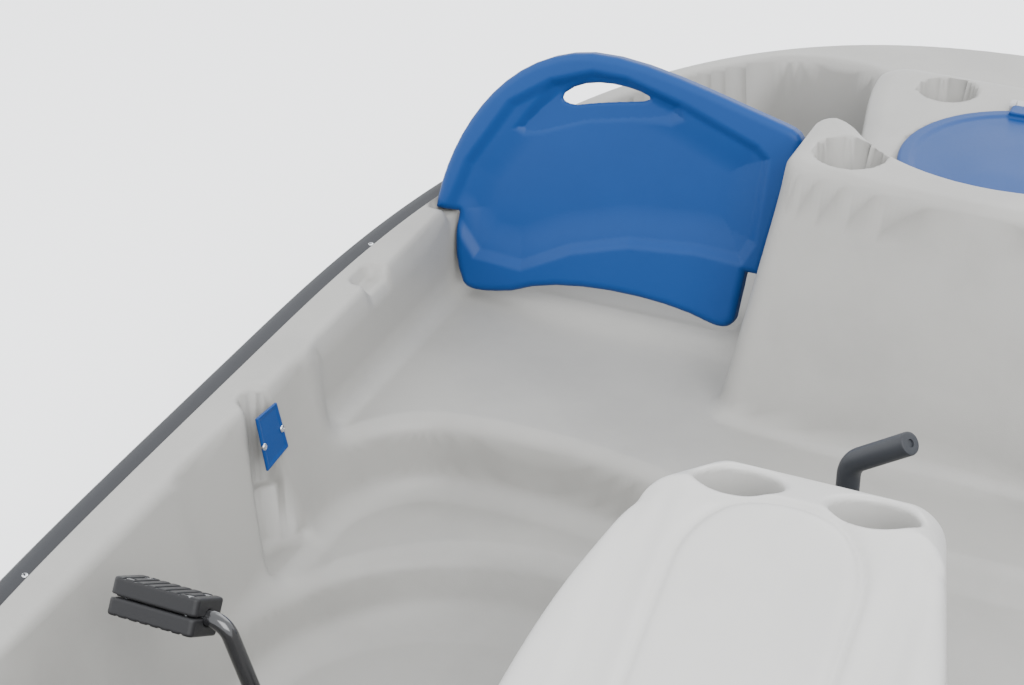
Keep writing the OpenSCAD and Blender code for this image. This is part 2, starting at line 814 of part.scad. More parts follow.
module bearing_part(low, high) {
  difference() {
    both_in_x(bearing_x)
      translate([-bearing_w / 2, crank_y - bearing_l / 2, low]) cube([bearing_w, bearing_l, high - low]);
    both_in_x(bearing_x)
      translate([-40, crank_y, crank_z]) rotate([0, 90, 0]) cylinder(r = rod_r + run_gap, h = 80);
    bearing_screw_places() translate([0, 0, -20]) cylinder(r = 2.7, h = 140);
  }
}

module bearing_blocks() {
  color(dark) bearing_part(bridge_z, crank_z - near_gap / 2);
}

module bearing_caps() {
  color(dark)
    intersection() {
      bearing_part(crank_z + near_gap / 2, crank_z + 30);
      union() {
        translate([-400, crank_y, crank_z]) rotate([0, 90, 0]) cylinder(r = 24, h = 800);
        translate([-400, crank_y - bearing_l, crank_z]) cube([800, 2 * bearing_l, 12]);
      }
    }
}

module bearing_screws() {
  color(steel)
    bearing_screw_places() translate([0, 0, crank_z + 12 - bridge_z]) pan_screw(2.5, 60, 5, 4);
}

// ---- Paddle wheel ----
hub_r = 24;
disc_r = 96;
disc_t = 5;
paddle_t = 5;

module on_crank_axis() {
  translate([0, crank_y, crank_z]) rotate([0, 90, 0]) children();
}

module wheel_pin_places() {
  both_in_x(58) translate([0, crank_y, crank_z]) children();
}

module wheel_hubs() {
  color(deck_grey)
    difference() {
      union() {
        on_crank_axis() translate([0, 0, -wheel_half]) cylinder(r = hub_r, h = 2 * wheel_half);
        for (x = [-wheel_half + 4, wheel_half - 4 - disc_t])
          translate([x, 0, 0]) on_crank_axis() cylinder(r = disc_r, h = disc_t);
      }
      on_crank_axis() translate([0, 0, -wheel_half - 1]) cylinder(r = rod_r + run_gap, h = 2 * wheel_half + 2);
      wheel_pin_places() translate([0, 0, -60]) cylinder(r = 3 + run_gap, h = 120);
    }
}

module wheel_paddles() {
  inner = wheel_half - 4 - disc_t - near_gap;
  color(deck_grey)
    for (i = [0:paddle_n - 1])
      translate([0, crank_y, crank_z]) rotate([360 * (i + 0.5) / paddle_n, 0, 0])
        translate([-inner, 0, 0]) rotate([90, 0, 90])
          linear_extrude(2 * inner)
            polygon([
              [-paddle_t / 2, hub_r + near_gap], [paddle_t / 2, hub_r + near_gap],
              [paddle_t / 2, wheel_r * 0.62], [paddle_t / 2 + 16, wheel_r * 0.96],
              [16 - paddle_t / 2, wheel_r * 0.98], [-paddle_t / 2, wheel_r * 0.64]
            ]);
}

module wheel_pins() {
  color(steel) wheel_pin_places() translate([0, 0, -hub_r - 3]) cylinder(r = 3, h = 2 * hub_r + 6);
}

// ---- Pedals ----
pedal_screw_x = 36;
pedal_screw_y = 20;

module pedal_screw_spots() {
  for (x = [-1, 1], y = [-1, 1]) translate([x * pedal_screw_x, y * pedal_screw_y, 0]) children();
}

// Upper or lower half of a pedal round its crank pin
module pedal_half(up) {
  rotate([-pedal_lean, 0, 0]) mirror([0, 0, up ? 0 : 1])
    difference() {
      translate([0, 0, pedal_gap / 2])
        linear_extrude((pedal_t - pedal_gap) / 2)
          polygon(round_box([-pedal_l / 2, pedal_l / 2, -pedal_w / 2, pedal_w / 2], [0, 0, 0, 0], 5));
      rotate([0, 90, 0]) translate([0, 0, -pedal_l]) cylinder(r = rod_r + run_gap, h = 2 * pedal_l);
      rotate([0, 90, 0]) translate([0, 0, -collar_w / 2 - near_gap])
        cylinder(r = collar_r + near_gap, h = collar_w + 2 * near_gap);
      pedal_screw_spots() {
        translate([0, 0, -1]) cylinder(r = 2.7, h = pedal_t);
        translate([0, 0, pedal_t / 2 - 5]) cylinder(r = 5.5, h = 10);
      }
      // Notch at the outer end and grooves across the tread
      translate([-pedal_l / 2 - 1, -pedal_w, -1]) cube([9, 2 * pedal_w, 2.5]);
      for (i = [-3:3])
        translate([i * 13 - 1.5, -pedal_w, pedal_t / 2 - 2]) cube([3, 2 * pedal_w, 4]);
    }
}

module pedal_screws() {
  rotate([-pedal_lean, 0, 0]) pedal_screw_spots() {
    translate([0, 0, -pedal_t / 2 + 4]) cylinder(r = 2.5, h = pedal_t - 8);
    for (z = [-pedal_t / 2 + 1, pedal_t / 2 - 5 + near_gap]) translate([0, 0, z]) cylinder(r = 4.8, h = 4 - near_gap);
  }
}

module pedal_so_upper() { color(dark) on_pedal(-1, true) pedal_half(true); }
module pedal_so_lower() { color(dark) on_pedal(-1, true) pedal_half(false); }
module pedal_so_screws() { color(steel) on_pedal(-1, true) pedal_screws(); }
module pedal_si_upper() { color(dark) on_pedal(-1, false) pedal_half(true); }
module pedal_si_lower() { color(dark) on_pedal(-1, false) pedal_half(false); }
module pedal_si_screws() { color(steel) on_pedal(-1, false) pedal_screws(); }
module pedal_pi_upper() { color(dark) on_pedal(1, false) pedal_half(true); }
module pedal_pi_lower() { color(dark) on_pedal(1, false) pedal_half(false); }
module pedal_pi_screws() { color(steel) on_pedal(1, false) pedal_screws(); }
module pedal_po_upper() { color(dark) on_pedal(1, true) pedal_half(true); }
module pedal_po_lower() { color(dark) on_pedal(1, true) pedal_half(false); }
module pedal_po_screws() { color(steel) on_pedal(1, true) pedal_screws(); }

// ---- Steering ----
grip_turn = -18;
grip_rise = 38;
arm_t = 12;
eye_t = 8;
link_pin_r = 4;
stock_r = 10;
tube_wall = 2;

// Centre line of the tiller tube, in its own bending plane
function tiller_points() = [
  [0, arm_z - arm_t],
  [0, tiller_z],
  [grip_l * cos(grip_rise), tiller_z + grip_l * sin(grip_rise)]
];

module on_tiller() {
  translate([0, tiller_y, 0]) rotate([0, 0, grip_turn]) rotate([90, 0, 0]) children();
}

module tiller_post() {
  color(dark)
    difference() {
      union() {
        on_tiller() bent_rod(tiller_points(), tiller_r, 34);
        // Collar that rests on the bush
        translate([0, tiller_y, bridge_z + 5 + near_gap]) cylinder(r = tiller_r + 5, h = 8);
      }
      // Socket for the cap
      on_tiller_tip() translate([0, 0, -14]) cylinder(r = tiller_r - tube_wall, h = 20);
    }
}

module on_tiller_tip() {
  tip = tiller_points()[2];
  on_tiller() translate([tip[0], tip[1], 0]) rotate([0, 0, grip_rise]) rotate([0, 90, 0]) children();
}

module tiller_cap() {
  color(dark)
    on_tiller_tip() {
      translate([0, 0, -12]) cylinder(r = tiller_r - tube_wall - 0.1, h = 12);
      cylinder(r = tiller_r, h = 3);
    }
}

module tiller_bush() {
  color([0.3, 0.3, 0.3])
    translate([0, tiller_y, 0])
      difference() {
        union() {
          translate([0, 0, bridge_z]) cylinder(r = tiller_bush_r + 9, h = 5);
          translate([0, 0, arm_z + near_gap]) cylinder(r = tiller_bush_r - near_gap, h = bridge_z - arm_z);
        }
        translate([0, 0, arm_z - 1]) cylinder(r = tiller_r + run_gap, h = 60);
      }
}

// Arm on a vertical shaft at y, with its pin hole to port
module lever(y, shaft_r) {
  translate([0, y, arm_z - arm_t])
    difference() {
      union() {
        cylinder(r = shaft_r + 9, h = arm_t);
        translate([0, -8, 0]) cube([arm_l, 16, arm_t]);
        translate([arm_l, 0, 0]) cylinder(r = 8, h = arm_t);
      }
      translate([0, 0, -1]) cylinder(r = shaft_r + run_gap, h = arm_t + 2);
      translate([arm_l, 0, -1]) cylinder(r = link_pin_r + run_gap, h = arm_t + 2);
    }
}

module steering_arm() {
  color(steel) lever(tiller_y, tiller_r);
}

module rudder_arm() {
  color(steel) lever(rudder_y, stock_r);
}

link_z = arm_z - arm_t - near_gap - eye_t;

module tie_rod() {
  color(steel)
    translate([arm_l, 0, link_z])
      difference() {
        union() {
          for (y = [tiller_y, rudder_y]) translate([0, y, 0]) cylinder(r = 11, h = eye_t);
          translate([0, tiller_y + 8, eye_t / 2]) rotate([-90, 0, 0])
            cylinder(r = 3.9, h = rudder_y - tiller_y - 16);
        }
        translate([0, tiller_y, -1]) cylinder(r = link_pin_r + run_gap, h = eye_t + 2);
        translate([0, rudder_y, -1]) cylinder(r = link_pin_r + pin_gap, h = eye_t + 2);
      }
}

module link_pin(y) {
  translate([arm_l, y, link_z]) {
    translate([0, 0, -3 - near_gap]) cylinder(r = 7, h = 3);
    translate([0, 0, -3]) cylinder(r = link_pin_r, h = arm_t + eye_t + 7);
  }
}

module link_pin_fore() {
  color(steel) link_pin(tiller_y);
}

module link_pin_aft() {
  color(steel) link_pin(rudder_y);
}

blade_z = 24;
bush_top_z = notch_z + wall + 4;

module rudder_stock() {
  color(steel) translate([0, rudder_y, blade_z + 6]) cylinder(r = stock_r, h = arm_z + 6 - blade_z - 6);
}

module rudder_blade() {
  color(dark)
    difference() {
      translate([0, rudder_y, blade_z]) {
        cylinder(r = stock_r + 5, h = notch_z - blade_z - 8);
        linear_extrude(notch_z - blade_z - 8)
          polygon([[-5, -25], [5, -25], [8, 0], [6, rudder_l * 0.6], [2, rudder_l], [-2, rudder_l], [-6, rudder_l * 0.6], [-8, 0]]);
      }
      translate([0, rudder_y, blade_z + 6]) cylinder(r = stock_r + run_gap, h = 200);
    }
}

module rudder_bush() {
  color([0.3, 0.3, 0.3])
    translate([0, rudder_y, 0])
      difference() {
        union() {
          translate([0, 0, bush_top_z]) cylinder(r = rudder_bush_r + 8, h = 4);
          translate([0, 0, notch_z - 2]) cylinder(r = rudder_bush_r - near_gap, h = 16);
        }
        translate([0, 0, notch_z - 10]) cylinder(r = stock_r + run_gap, h = 60);
      }
}

module rudder_collar() {
  color(steel)
    translate([0, rudder_y, bush_top_z + 4 + near_gap])
      difference() {
        cylinder(r = stock_r + 7, h = 12);
        translate([0, 0, -1]) cylinder(r = stock_r + run_gap, h = 20);
      }
}

hull_bottom();
deck();
rub_rail();
rail_screws();
foam_blocks();
drain_plug();
wheel_cover();
cover_screws();
seat_back_starboard();
seat_back_port();
cooler_lid();
lid_hinges();
lid_hinge_pins();
rod_plates();
rod_plate_screws();
bearing_blocks();
bearing_caps();
bearing_screws();
crankshaft();
wheel_hubs();
wheel_paddles();
wheel_pins();
pedal_so_upper();
pedal_so_lower();
pedal_so_screws();
pedal_si_upper();
pedal_si_lower();
pedal_si_screws();
pedal_pi_upper();
pedal_pi_lower();
pedal_pi_screws();
pedal_po_upper();
pedal_po_lower();
pedal_po_screws();
tiller_post();
tiller_cap();
tiller_bush();
steering_arm();
tie_rod();
link_pin_fore();
link_pin_aft();
rudder_stock();
rudder_blade();
rudder_bush();
rudder_arm();
rudder_collar();
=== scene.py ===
"""Pedal boat: the looks that go round the CAD frame.

Every sub-assembly is a class that builds its own meshes and dresses them. Lengths in
the field functions are millimetres, and they become metres when a mesh is made.
"""

import json
import logging
import math
from dataclasses import dataclass
from enum import Enum
from typing import Callable, Sequence

import bmesh
import bpy
import numpy as np
from mathutils import Matrix, Vector


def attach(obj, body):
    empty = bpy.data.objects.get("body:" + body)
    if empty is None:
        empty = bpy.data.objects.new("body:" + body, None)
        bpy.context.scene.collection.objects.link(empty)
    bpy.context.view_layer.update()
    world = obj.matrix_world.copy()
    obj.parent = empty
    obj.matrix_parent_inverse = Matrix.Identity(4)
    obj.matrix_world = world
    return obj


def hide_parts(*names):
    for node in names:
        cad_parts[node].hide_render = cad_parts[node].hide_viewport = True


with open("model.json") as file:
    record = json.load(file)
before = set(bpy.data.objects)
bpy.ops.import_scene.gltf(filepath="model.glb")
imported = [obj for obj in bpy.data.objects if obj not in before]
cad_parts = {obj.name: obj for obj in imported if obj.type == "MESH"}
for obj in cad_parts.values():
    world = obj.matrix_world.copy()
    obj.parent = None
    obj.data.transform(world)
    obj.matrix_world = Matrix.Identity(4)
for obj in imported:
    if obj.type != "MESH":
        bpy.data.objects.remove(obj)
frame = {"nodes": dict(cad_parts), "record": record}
LOG = logging.getLogger("pedal_boat")
MM = 0.001
Array = np.ndarray
Field = Callable[[Array, Array, Array], Array]


class Body(str, Enum):
    """Bodies of the frame that pieces ride on."""

    BOAT = "boat"
    SEAT_STARBOARD = "seat_back_starboard"
    SEAT_PORT = "seat_back_port"
    LID = "cooler_lid"
    CRANK = "crank"
    TILLER = "tiller"


class Slot(str, Enum):
    """Material slots of the record."""

    HULL = "hull_shell"
    DECK = "deck_shell"
    COVER = "cover_shell"
    RAIL = "rail_rubber"
    STAINLESS = "stainless"
    FOAM = "foam"
    BLACK = "black_plastic"
    BLUE = "blue_plastic"
    GREY = "grey_plastic"
    CRANK = "crank_steel"
    WHEEL = "wheel_plastic"
    PEDAL = "pedal_rubber"
    GRIP = "grip_plastic"


# ---------------------------------------------------------------- distances


def round_max(a: Array, b: Array, r: float) -> Array:
    """Intersection of two solids with a rounded edge.

    Args:
        a: Distance to the first solid, negative inside.
        b: Distance to the second solid.
        r: Radius of the edge.

    Returns:
        Distance to the solid that both share.
    """
    return np.minimum(-r, np.maximum(a, b)) + np.hypot(np.maximum(r + a, 0), np.maximum(r + b, 0))


def round_min(a: Array, b: Array, r: float) -> Array:
    """Union of two solids with a fillet of radius r between them."""
    return -round_max(-a, -b, r)


def rounded_box(x: Array, y: Array, x0, x1, y0, y1, r) -> Array:
    """Distance to a rectangle in plan whose corners are rounded by r."""
    qx = np.maximum(x0 + r - x, x - x1 + r)
    qy = np.maximum(y0 + r - y, y - y1 + r)
    return np.hypot(np.maximum(qx, 0), np.maximum(qy, 0)) - r + np.minimum(np.maximum(qx, qy), 0)


def path_distance(u: Array, v: Array, points: Sequence[Sequence[float]]) -> Array:
    """Distance in a plane to a line through several points."""
    best = np.full(np.shape(u), 1e9)
    for (ax, ay), (bx, by) in zip(points[:-1], points[1:]):
        dx, dy = bx - ax, by - ay
        t = np.clip(((u - ax) * dx + (v - ay) * dy) / (dx * dx + dy * dy), 0, 1)
        best = np.minimum(best, np.hypot(u - ax - t * dx, v - ay - t * dy))
    return best


def polygon_distance(u: Array, v: Array, points: Sequence[Sequence[float]]) -> Array:
    """Distance to a closed outline in a plane, negative inside."""
    loop = [*points, points[0]]
    inside = np.zeros(np.shape(u), bool)
    for (ax, ay), (bx, by) in zip(loop[:-1], loop[1:]):
        if ay != by:
            crosses = (ay > v) != (by > v)
            inside ^= crosses & (u < (bx - ax) * (v - ay) / (by - ay) + ax)
    return np.where(inside, -1, 1) * path_distance(u, v, loop)


def smooth_step(a: float, b: float, v: Array) -> Array:
    """0 below a, 1 above b and smooth between them."""
    t = np.clip((v - a) / (b - a), 0, 1)
    return t * t * (3 - 2 * t)


def cubic(p: Sequence[Sequence[float]], steps: int) -> list[tuple[float, float]]:
    """Points of a cubic curve through four controls, without its last point."""
    out = []
    for i in range(steps):
        s = i / steps
        w = ((1 - s) ** 3, 3 * (1 - s) ** 2 * s, 3 * (1 - s) * s * s, s**3)
        out.append((sum(k * q[0] for k, q in zip(w, p)), sum(k * q[1] for k, q in zip(w, p))))
    return out


# ---------------------------------------------------------------- meshes


@dataclass
class Surface:
    """Vertices in millimetres, their faces and, if known, the normal at each vertex."""

    verts: Array
    faces: list
    normals: Array | None = None

    def joined(self, other: "Surface") -> "Surface":
        """Both surfaces as one."""
        shift = len(self.verts)
        faces = list(self.faces) + [tuple(i + shift for i in f) for f in other.faces]
        normals = None
        if self.normals is not None and other.normals is not None:
            normals = np.vstack([self.normals, other.normals])
        return Surface(np.vstack([self.verts, other.verts]), faces, normals)


def gradient(field: Field, p: Array, step: float = 0.6) -> Array:
    """Unit gradient of a distance field at some points."""
    x, y, z = p.T
    g = np.stack(
        [
            field(x + step, y, z) - field(x - step, y, z),
            field(x, y + step, z) - field(x, y - step, z),
            field(x, y, z + step) - field(x, y, z - step),
        ],
        -1,
    )
    return g / np.maximum(np.linalg.norm(g, axis=1, keepdims=True), 1e-9)


def wrap(field: Field, low: Sequence[float], high: Sequence[float], step: float) -> Surface:
    """Closed surface where a distance field is zero.

    Args:
        field: Distance to the solid, negative inside.
        low: Lowest corner of the space that holds it.
        high: Highest corner.
        step: Size of a cell.

    Returns:
        A surface of four-sided faces with the field's own normals.
    """
    axes = [np.arange(a - 1.5 * step, b + 1.5 * step, step) for a, b in zip(low, high)]
    grid = np.meshgrid(*axes, indexing="ij")
    value = field(*grid)
    inside = value < 0
    shape = np.array(value.shape) - 1
    total = np.zeros((*shape, 3))
    count = np.zeros(shape)
    corners = [(i, j, k) for i in (0, 1) for j in (0, 1) for k in (0, 1)]

    def at(a: Array, c: Sequence[int]) -> Array:
        return a[c[0] : c[0] + shape[0], c[1] : c[1] + shape[1], c[2] : c[2] + shape[2]]

    for c in corners:
        for axis in range(3):
            if c[axis]:
                continue
            d = list(c)
            d[axis] = 1
            va, vb = at(value, c), at(value, d)
            cut = (va < 0) != (vb < 0)
            t = np.where(cut, va / np.where(cut, va - vb, 1), 0)
            for k in range(3):
                total[..., k] += cut * (c[k] + (t if k == axis else 0))
            count += cut
    used = count > 0
    index = np.full(shape, -1)
    index[used] = np.arange(used.sum())
    cell = np.stack(np.nonzero(used), -1)
    start = np.array([a[0] for a in axes])
    verts = start + step * (cell + total[used] / count[used][:, None])
    faces = []
    for axis in range(3):
        b, c = (axis + 1) % 3, (axis + 2) % 3
        along = [slice(1, -1)] * 3
        along[axis] = slice(0, -1)
        ahead = list(along)
        ahead[axis] = slice(1, None)
        first, second = inside[tuple(along)], inside[tuple(ahead)]
        for flip in (False, True):
            i = np.stack(np.nonzero((first & ~second) if not flip else (~first & second)), -1)
            if not len(i):
                continue
            base = i.copy()
            base[:, b] += 1
            base[:, c] += 1
            ring = []
            for db, dc in ((0, 0), (-1, 0), (-1, -1), (0, -1)):
                q = base.copy()
                q[:, b] += db
                q[:, c] += dc
                ring.append(index[tuple(q.T)])
            quad = np.stack(ring if not flip else ring[::-1], -1)
            faces.append(quad)
    quads = np.concatenate(faces)
    for _ in range(2):
        g = gradient(field, verts)
        off = np.clip(field(*verts.T), -step * 0.4, step * 0.4)
        verts = verts - 0.8 * off[:, None] * g
    return Surface(verts, [tuple(q) for q in quads.tolist()], gradient(field, verts))


def sweep(path: Array, radius: float | Array, sides: int = 20) -> Surface:
    """Closed round bar along a path, with flat ends."""
    path = np.asarray(path, float)
    radii = np.broadcast_to(radius, len(path))
    tangent = np.gradient(path, axis=0)
    tangent /= np.linalg.norm(tangent, axis=1, keepdims=True)
    side = np.cross(tangent[0], (0.0, 0.0, 1.0) if abs(tangent[0][2]) < 0.9 else (0.0, 1.0, 0.0))
    verts = []
    turn = 2 * np.pi * np.arange(sides) / sides
    for p, t, r in zip(path, tangent, radii):
        side = side - t * (side @ t)
        side /= np.linalg.norm(side)
        up = np.cross(t, side)
        verts.append(p + r * (np.outer(np.cos(turn), side) + np.outer(np.sin(turn), up)))
    faces = []
    for i in range(len(path) - 1):
        for j in range(sides):
            k = (j + 1) % sides
            faces.append((i * sides + j, i * sides + k, (i + 1) * sides + k, (i + 1) * sides + j))
    faces.append(tuple(reversed(range(sides))))
    faces.append(tuple((len(path) - 1) * sides + j for j in range(sides)))
    return Surface(np.vstack(verts), faces)


def turned(profile: Sequence[Sequence[float]], sides: int = 32) -> Surface:
    """Closed form turned about Z from [radius, height] points that start and end on the axis."""
    inner = [p for p in profile if p[0] > 1e-6]
    turn = 2 * np.pi * np.arange(sides) / sides
    verts = [np.stack([r * np.cos(turn), r * np.sin(turn), np.full(sides, z)], -1) for r, z in inner]
    faces = []
    for i in range(len(inner) - 1):
        for j in range(sides):
            k = (j + 1) % sides
            faces.append((i * sides + j, i * sides + k, (i + 1) * sides + k, (i + 1) * sides + j))
    faces.append(tuple(reversed(range(sides))))
    faces.append(tuple((len(inner) - 1) * sides + j for j in range(sides)))
    return Surface(np.vstack(verts), faces)


def moved(surface: Surface, matrix: Matrix) -> Surface:
    """The surface after a move given in millimetres."""
    m = np.array(matrix)
    verts = surface.verts @ m[:3, :3].T + m[:3, 3]
    normals = None if surface.normals is None else surface.normals @ m[:3, :3].T
    return Surface(verts, surface.faces, normals)


def closed_loops(faces: Array) -> list[list[int]]:
    """Edge loops of an open surface, each in the direction of its faces."""
    a = faces.ravel()
    b = np.roll(faces, -1, axis=1).ravel()
    size = int(faces.max()) + 1
    alone = ~np.isin(a * size + b, b * size + a)
    following = dict(zip(a[alone].tolist(), b[alone].tolist()))
    loops = []
    while following:
        start, at = next(iter(following.items()))
        loop = [start]
        del following[start]
        while at != start:
            loop.append(at)
            at = following.pop(at)
        loops.append(loop)
    return sorted(loops, key=len, reverse=True)


def zipped(verts: Array, first: list[int], second: list[int]) -> list[tuple[int, int, int]]:
    """Triangles that close the gap between two loops that run the same way."""
    start = int(np.argmin(np.linalg.norm(verts[second] - verts[first[0]], axis=1)))
    second = second[start:] + second[:start]
    n, m = len(first), len(second)
    i = j = 0
    faces = []
    while i < n or j < m:
        a, b = first[i % n], second[j % m]
        a2, b2 = first[(i + 1) % n], second[(j + 1) % m]
        step_first = np.linalg.norm(verts[a2] - verts[b]) < np.linalg.norm(verts[b2] - verts[a])
        if j >= m or (i < n and step_first):
            faces.append((a, b, a2))
            i += 1
        else:
            faces.append((a, b, b2))
            j += 1
    return faces


def place(
    name: str,
    surface: Surface,
    material: bpy.types.Material,
    body: Body | str,
    slot: Slot,
    stands_for: Sequence[str] = (),
    smooth_angle: float | None = None,
) -> bpy.types.Object:
    """Makes a piece from a surface and hangs it on a body of the frame.

    Args:
        name: Name of the piece.
        surface: Its surface in millimetres.
        material: Its finish.
        body: Body that it rides on.
        slot: Material slot of the record; not used.
        stands_for: CAD nodes that it replaces.
        smooth_angle: Largest angle that is shaded smooth, in degrees.

    Returns:
        The new object.
    """
    mesh = bpy.data.meshes.new(name)
    mesh.from_pydata((surface.verts * MM).tolist(), [], surface.faces)
    mesh.update()
    mesh.shade_smooth()
    if surface.normals is not None:
        mesh.normals_split_custom_set_from_vertices(surface.normals.tolist())
    elif smooth_angle is not None:
        mesh.set_sharp_from_angle(angle=math.radians(smooth_angle))
    obj = bpy.data.objects.new(name, mesh)
    bpy.context.scene.collection.objects.link(obj)
    mesh.materials.append(material)
    hang(obj, body, slot, stands_for)
    return obj


def hang(obj: bpy.types.Object, body: Body | str, slot: Slot, stands_for: Sequence[str]) -> None:
    """Rides and replaces for one finished piece."""
    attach(obj, body.value if isinstance(body, Body) else body)
    if stands_for:
        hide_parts(*stands_for)
    LOG.info("%s: %d faces", obj.name, len(obj.data.polygons))


# ---------------------------------------------------------------- the boat's outline

HALF_BEAM, HALF_LENGTH = 825.0, 1175.0
BOW_FULL, STERN_FULL = 5.0, 2.5
GUNWALE_Z, WALL = 400.0, 6.0
BENCH_Z, STEP_Z, FLOOR_Z, BRIDGE_Z = 272.0, 175.0, 92.0, 245.0
HUMP_Z, STERN_Z, LEDGE_Z = 602.0, 505.0, 381.0


def outline(x: Array, y: Array) -> Array:
    """Distance to the boat's outline in plan, negative inside."""
    full = np.where(y < 0, BOW_FULL, STERN_FULL)
    ax, ay = np.abs(x) / HALF_BEAM, np.abs(y) / HALF_LENGTH
    s = np.maximum((ax**full + ay**full) ** (1 / full), 1e-3)
    gx = (ax / s) ** (full - 1) / HALF_BEAM
    gy = (ay / s) ** (full - 1) / HALF_LENGTH
    return (s - 1) / np.maximum(np.hypot(gx, gy), 1e-6)


def outline_points(inset: float, count: int) -> tuple[Array, Array]:
    """Points of the outline moved inwards, and its outward normals there."""
    t = 2 * np.pi * (np.arange(count) + 0.5) / count
    full = np.where(np.sin(t) < 0, BOW_FULL, STERN_FULL)
    c, s = np.cos(t), np.sin(t)
    x = HALF_BEAM * np.sign(c) * np.abs(c) ** (2 / full)
    y = HALF_LENGTH * np.sign(s) * np.abs(s) ** (2 / full)
    for _ in range(30):
        gap = np.hypot(np.roll(x, -1) - x, np.roll(y, -1) - y)
        pull = np.concatenate([[0], np.cumsum(gap)])
        even = np.linspace(0, pull[-1], count, endpoint=False)
        x = np.interp(even, pull, np.append(x, x[0]))
        y = np.interp(even, pull, np.append(y, y[0]))
        off = outline(x, y)
        r = np.hypot(x, y)
        x, y = x * (1 - off / r), y * (1 - off / r)
    e = 0.5
    g = np.stack([outline(x + e, y) - outline(x - e, y), outline(x, y + e) - outline(x, y - e)], -1)
    g /= np.linalg.norm(g, axis=1, keepdims=True)
    return np.stack([x, y], -1) - inset * g, g


def lines(marks: Sequence[tuple[float, float]], end: float) -> Array:
    """Grid lines from (start, spacing) marks up to an end."""
    out = []
    stops = [m[0] for m in marks[1:]] + [end]
    for (start, gap), stop in zip(marks, stops):
        n = max(1, round((stop - start) / gap))
        out.extend(np.linspace(start, stop, n, endpoint=False))
    return np.array([*out, end])


def both_ways(half: Array) -> Array:
    """Grid lines mirrored about the middle."""
    return np.concatenate([-half[:0:-1], half])


@dataclass
class Sheet:
    """Height sheet over part of the boat's plan, with its outer loop and its hole's loop."""

    verts: Array
    faces: Array
    outer: list[int]
    hole: list[int]


def height_sheet(xs: Array, ys: Array, inset: float, hole: Sequence[float], height) -> Sheet:
    """Sheet over the outline moved inwards by inset, without a box-shaped hole.

    Args:
        xs: Grid lines across.
        ys: Grid lines along.
        inset: Distance inside the boat's outline where the sheet ends.
        hole: Box [x0, x1, y0, y1] that stays open, on grid lines.
        height: Function of x and y that gives the height.

    Returns:
        The sheet, seen from above.
    """
    x, y = np.meshgrid(xs, ys, indexing="ij")
    inside = outline(x, y) < -inset
    keep = inside[:-1, :-1] & inside[1:, :-1] & inside[1:, 1:] & inside[:-1, 1:]
    mx, my = (xs[:-1] + xs[1:]) / 2, (ys[:-1] + ys[1:]) / 2
    in_hole = (hole[0] < mx[:, None]) & (mx[:, None] < hole[1]) & (hole[2] < my) & (my < hole[3])
    keep &= ~in_hole
    index = np.arange(x.size).reshape(x.shape)
    faces = np.stack([index[:-1, :-1], index[1:, :-1], index[1:, 1:], index[:-1, 1:]], -1)[keep]
    used, faces = np.unique(faces, return_inverse=True)
    faces = faces.reshape(-1, 4)
    p = np.stack([x.ravel()[used], y.ravel()[used]], -1)
    outer, inner = closed_loops(faces)[:2]
    rim = p[outer]
    for _ in range(4):
        off = outline(*rim.T) + inset
        e = 0.5
        gx = outline(rim[:, 0] + e, rim[:, 1]) - outline(rim[:, 0] - e, rim[:, 1])
        gy = outline(rim[:, 0], rim[:, 1] + e) - outline(rim[:, 0], rim[:, 1] - e)
        g = np.stack([gx, gy], -1)
        rim = rim - off[:, None] * g / np.maximum((g**2).sum(1, keepdims=True) ** 0.5, 1e-6)
    p[outer] = rim
    return Sheet(np.column_stack([p, height(*p.T)]), faces, outer, inner)


def rim_rings(start: Array, profile: Sequence[tuple[float, float]]) -> Array:
    """Rings that follow a loop outwards.

    Args:
        start: Points of the loop.
        profile: (distance outwards, height) of each ring.

    Returns:
        One ring of points after another.
    """
    e = 0.5
    x, y = start[:, 0], start[:, 1]
    g = np.stack([outline(x + e, y) - outline(x - e, y), outline(x, y + e) - outline(x, y - e)], -1)
    g /= np.linalg.norm(g, axis=1, keepdims=True)
    return np.stack([np.column_stack([start[:, :2] + out * g, np.full(len(x), z)]) for out, z in profile])


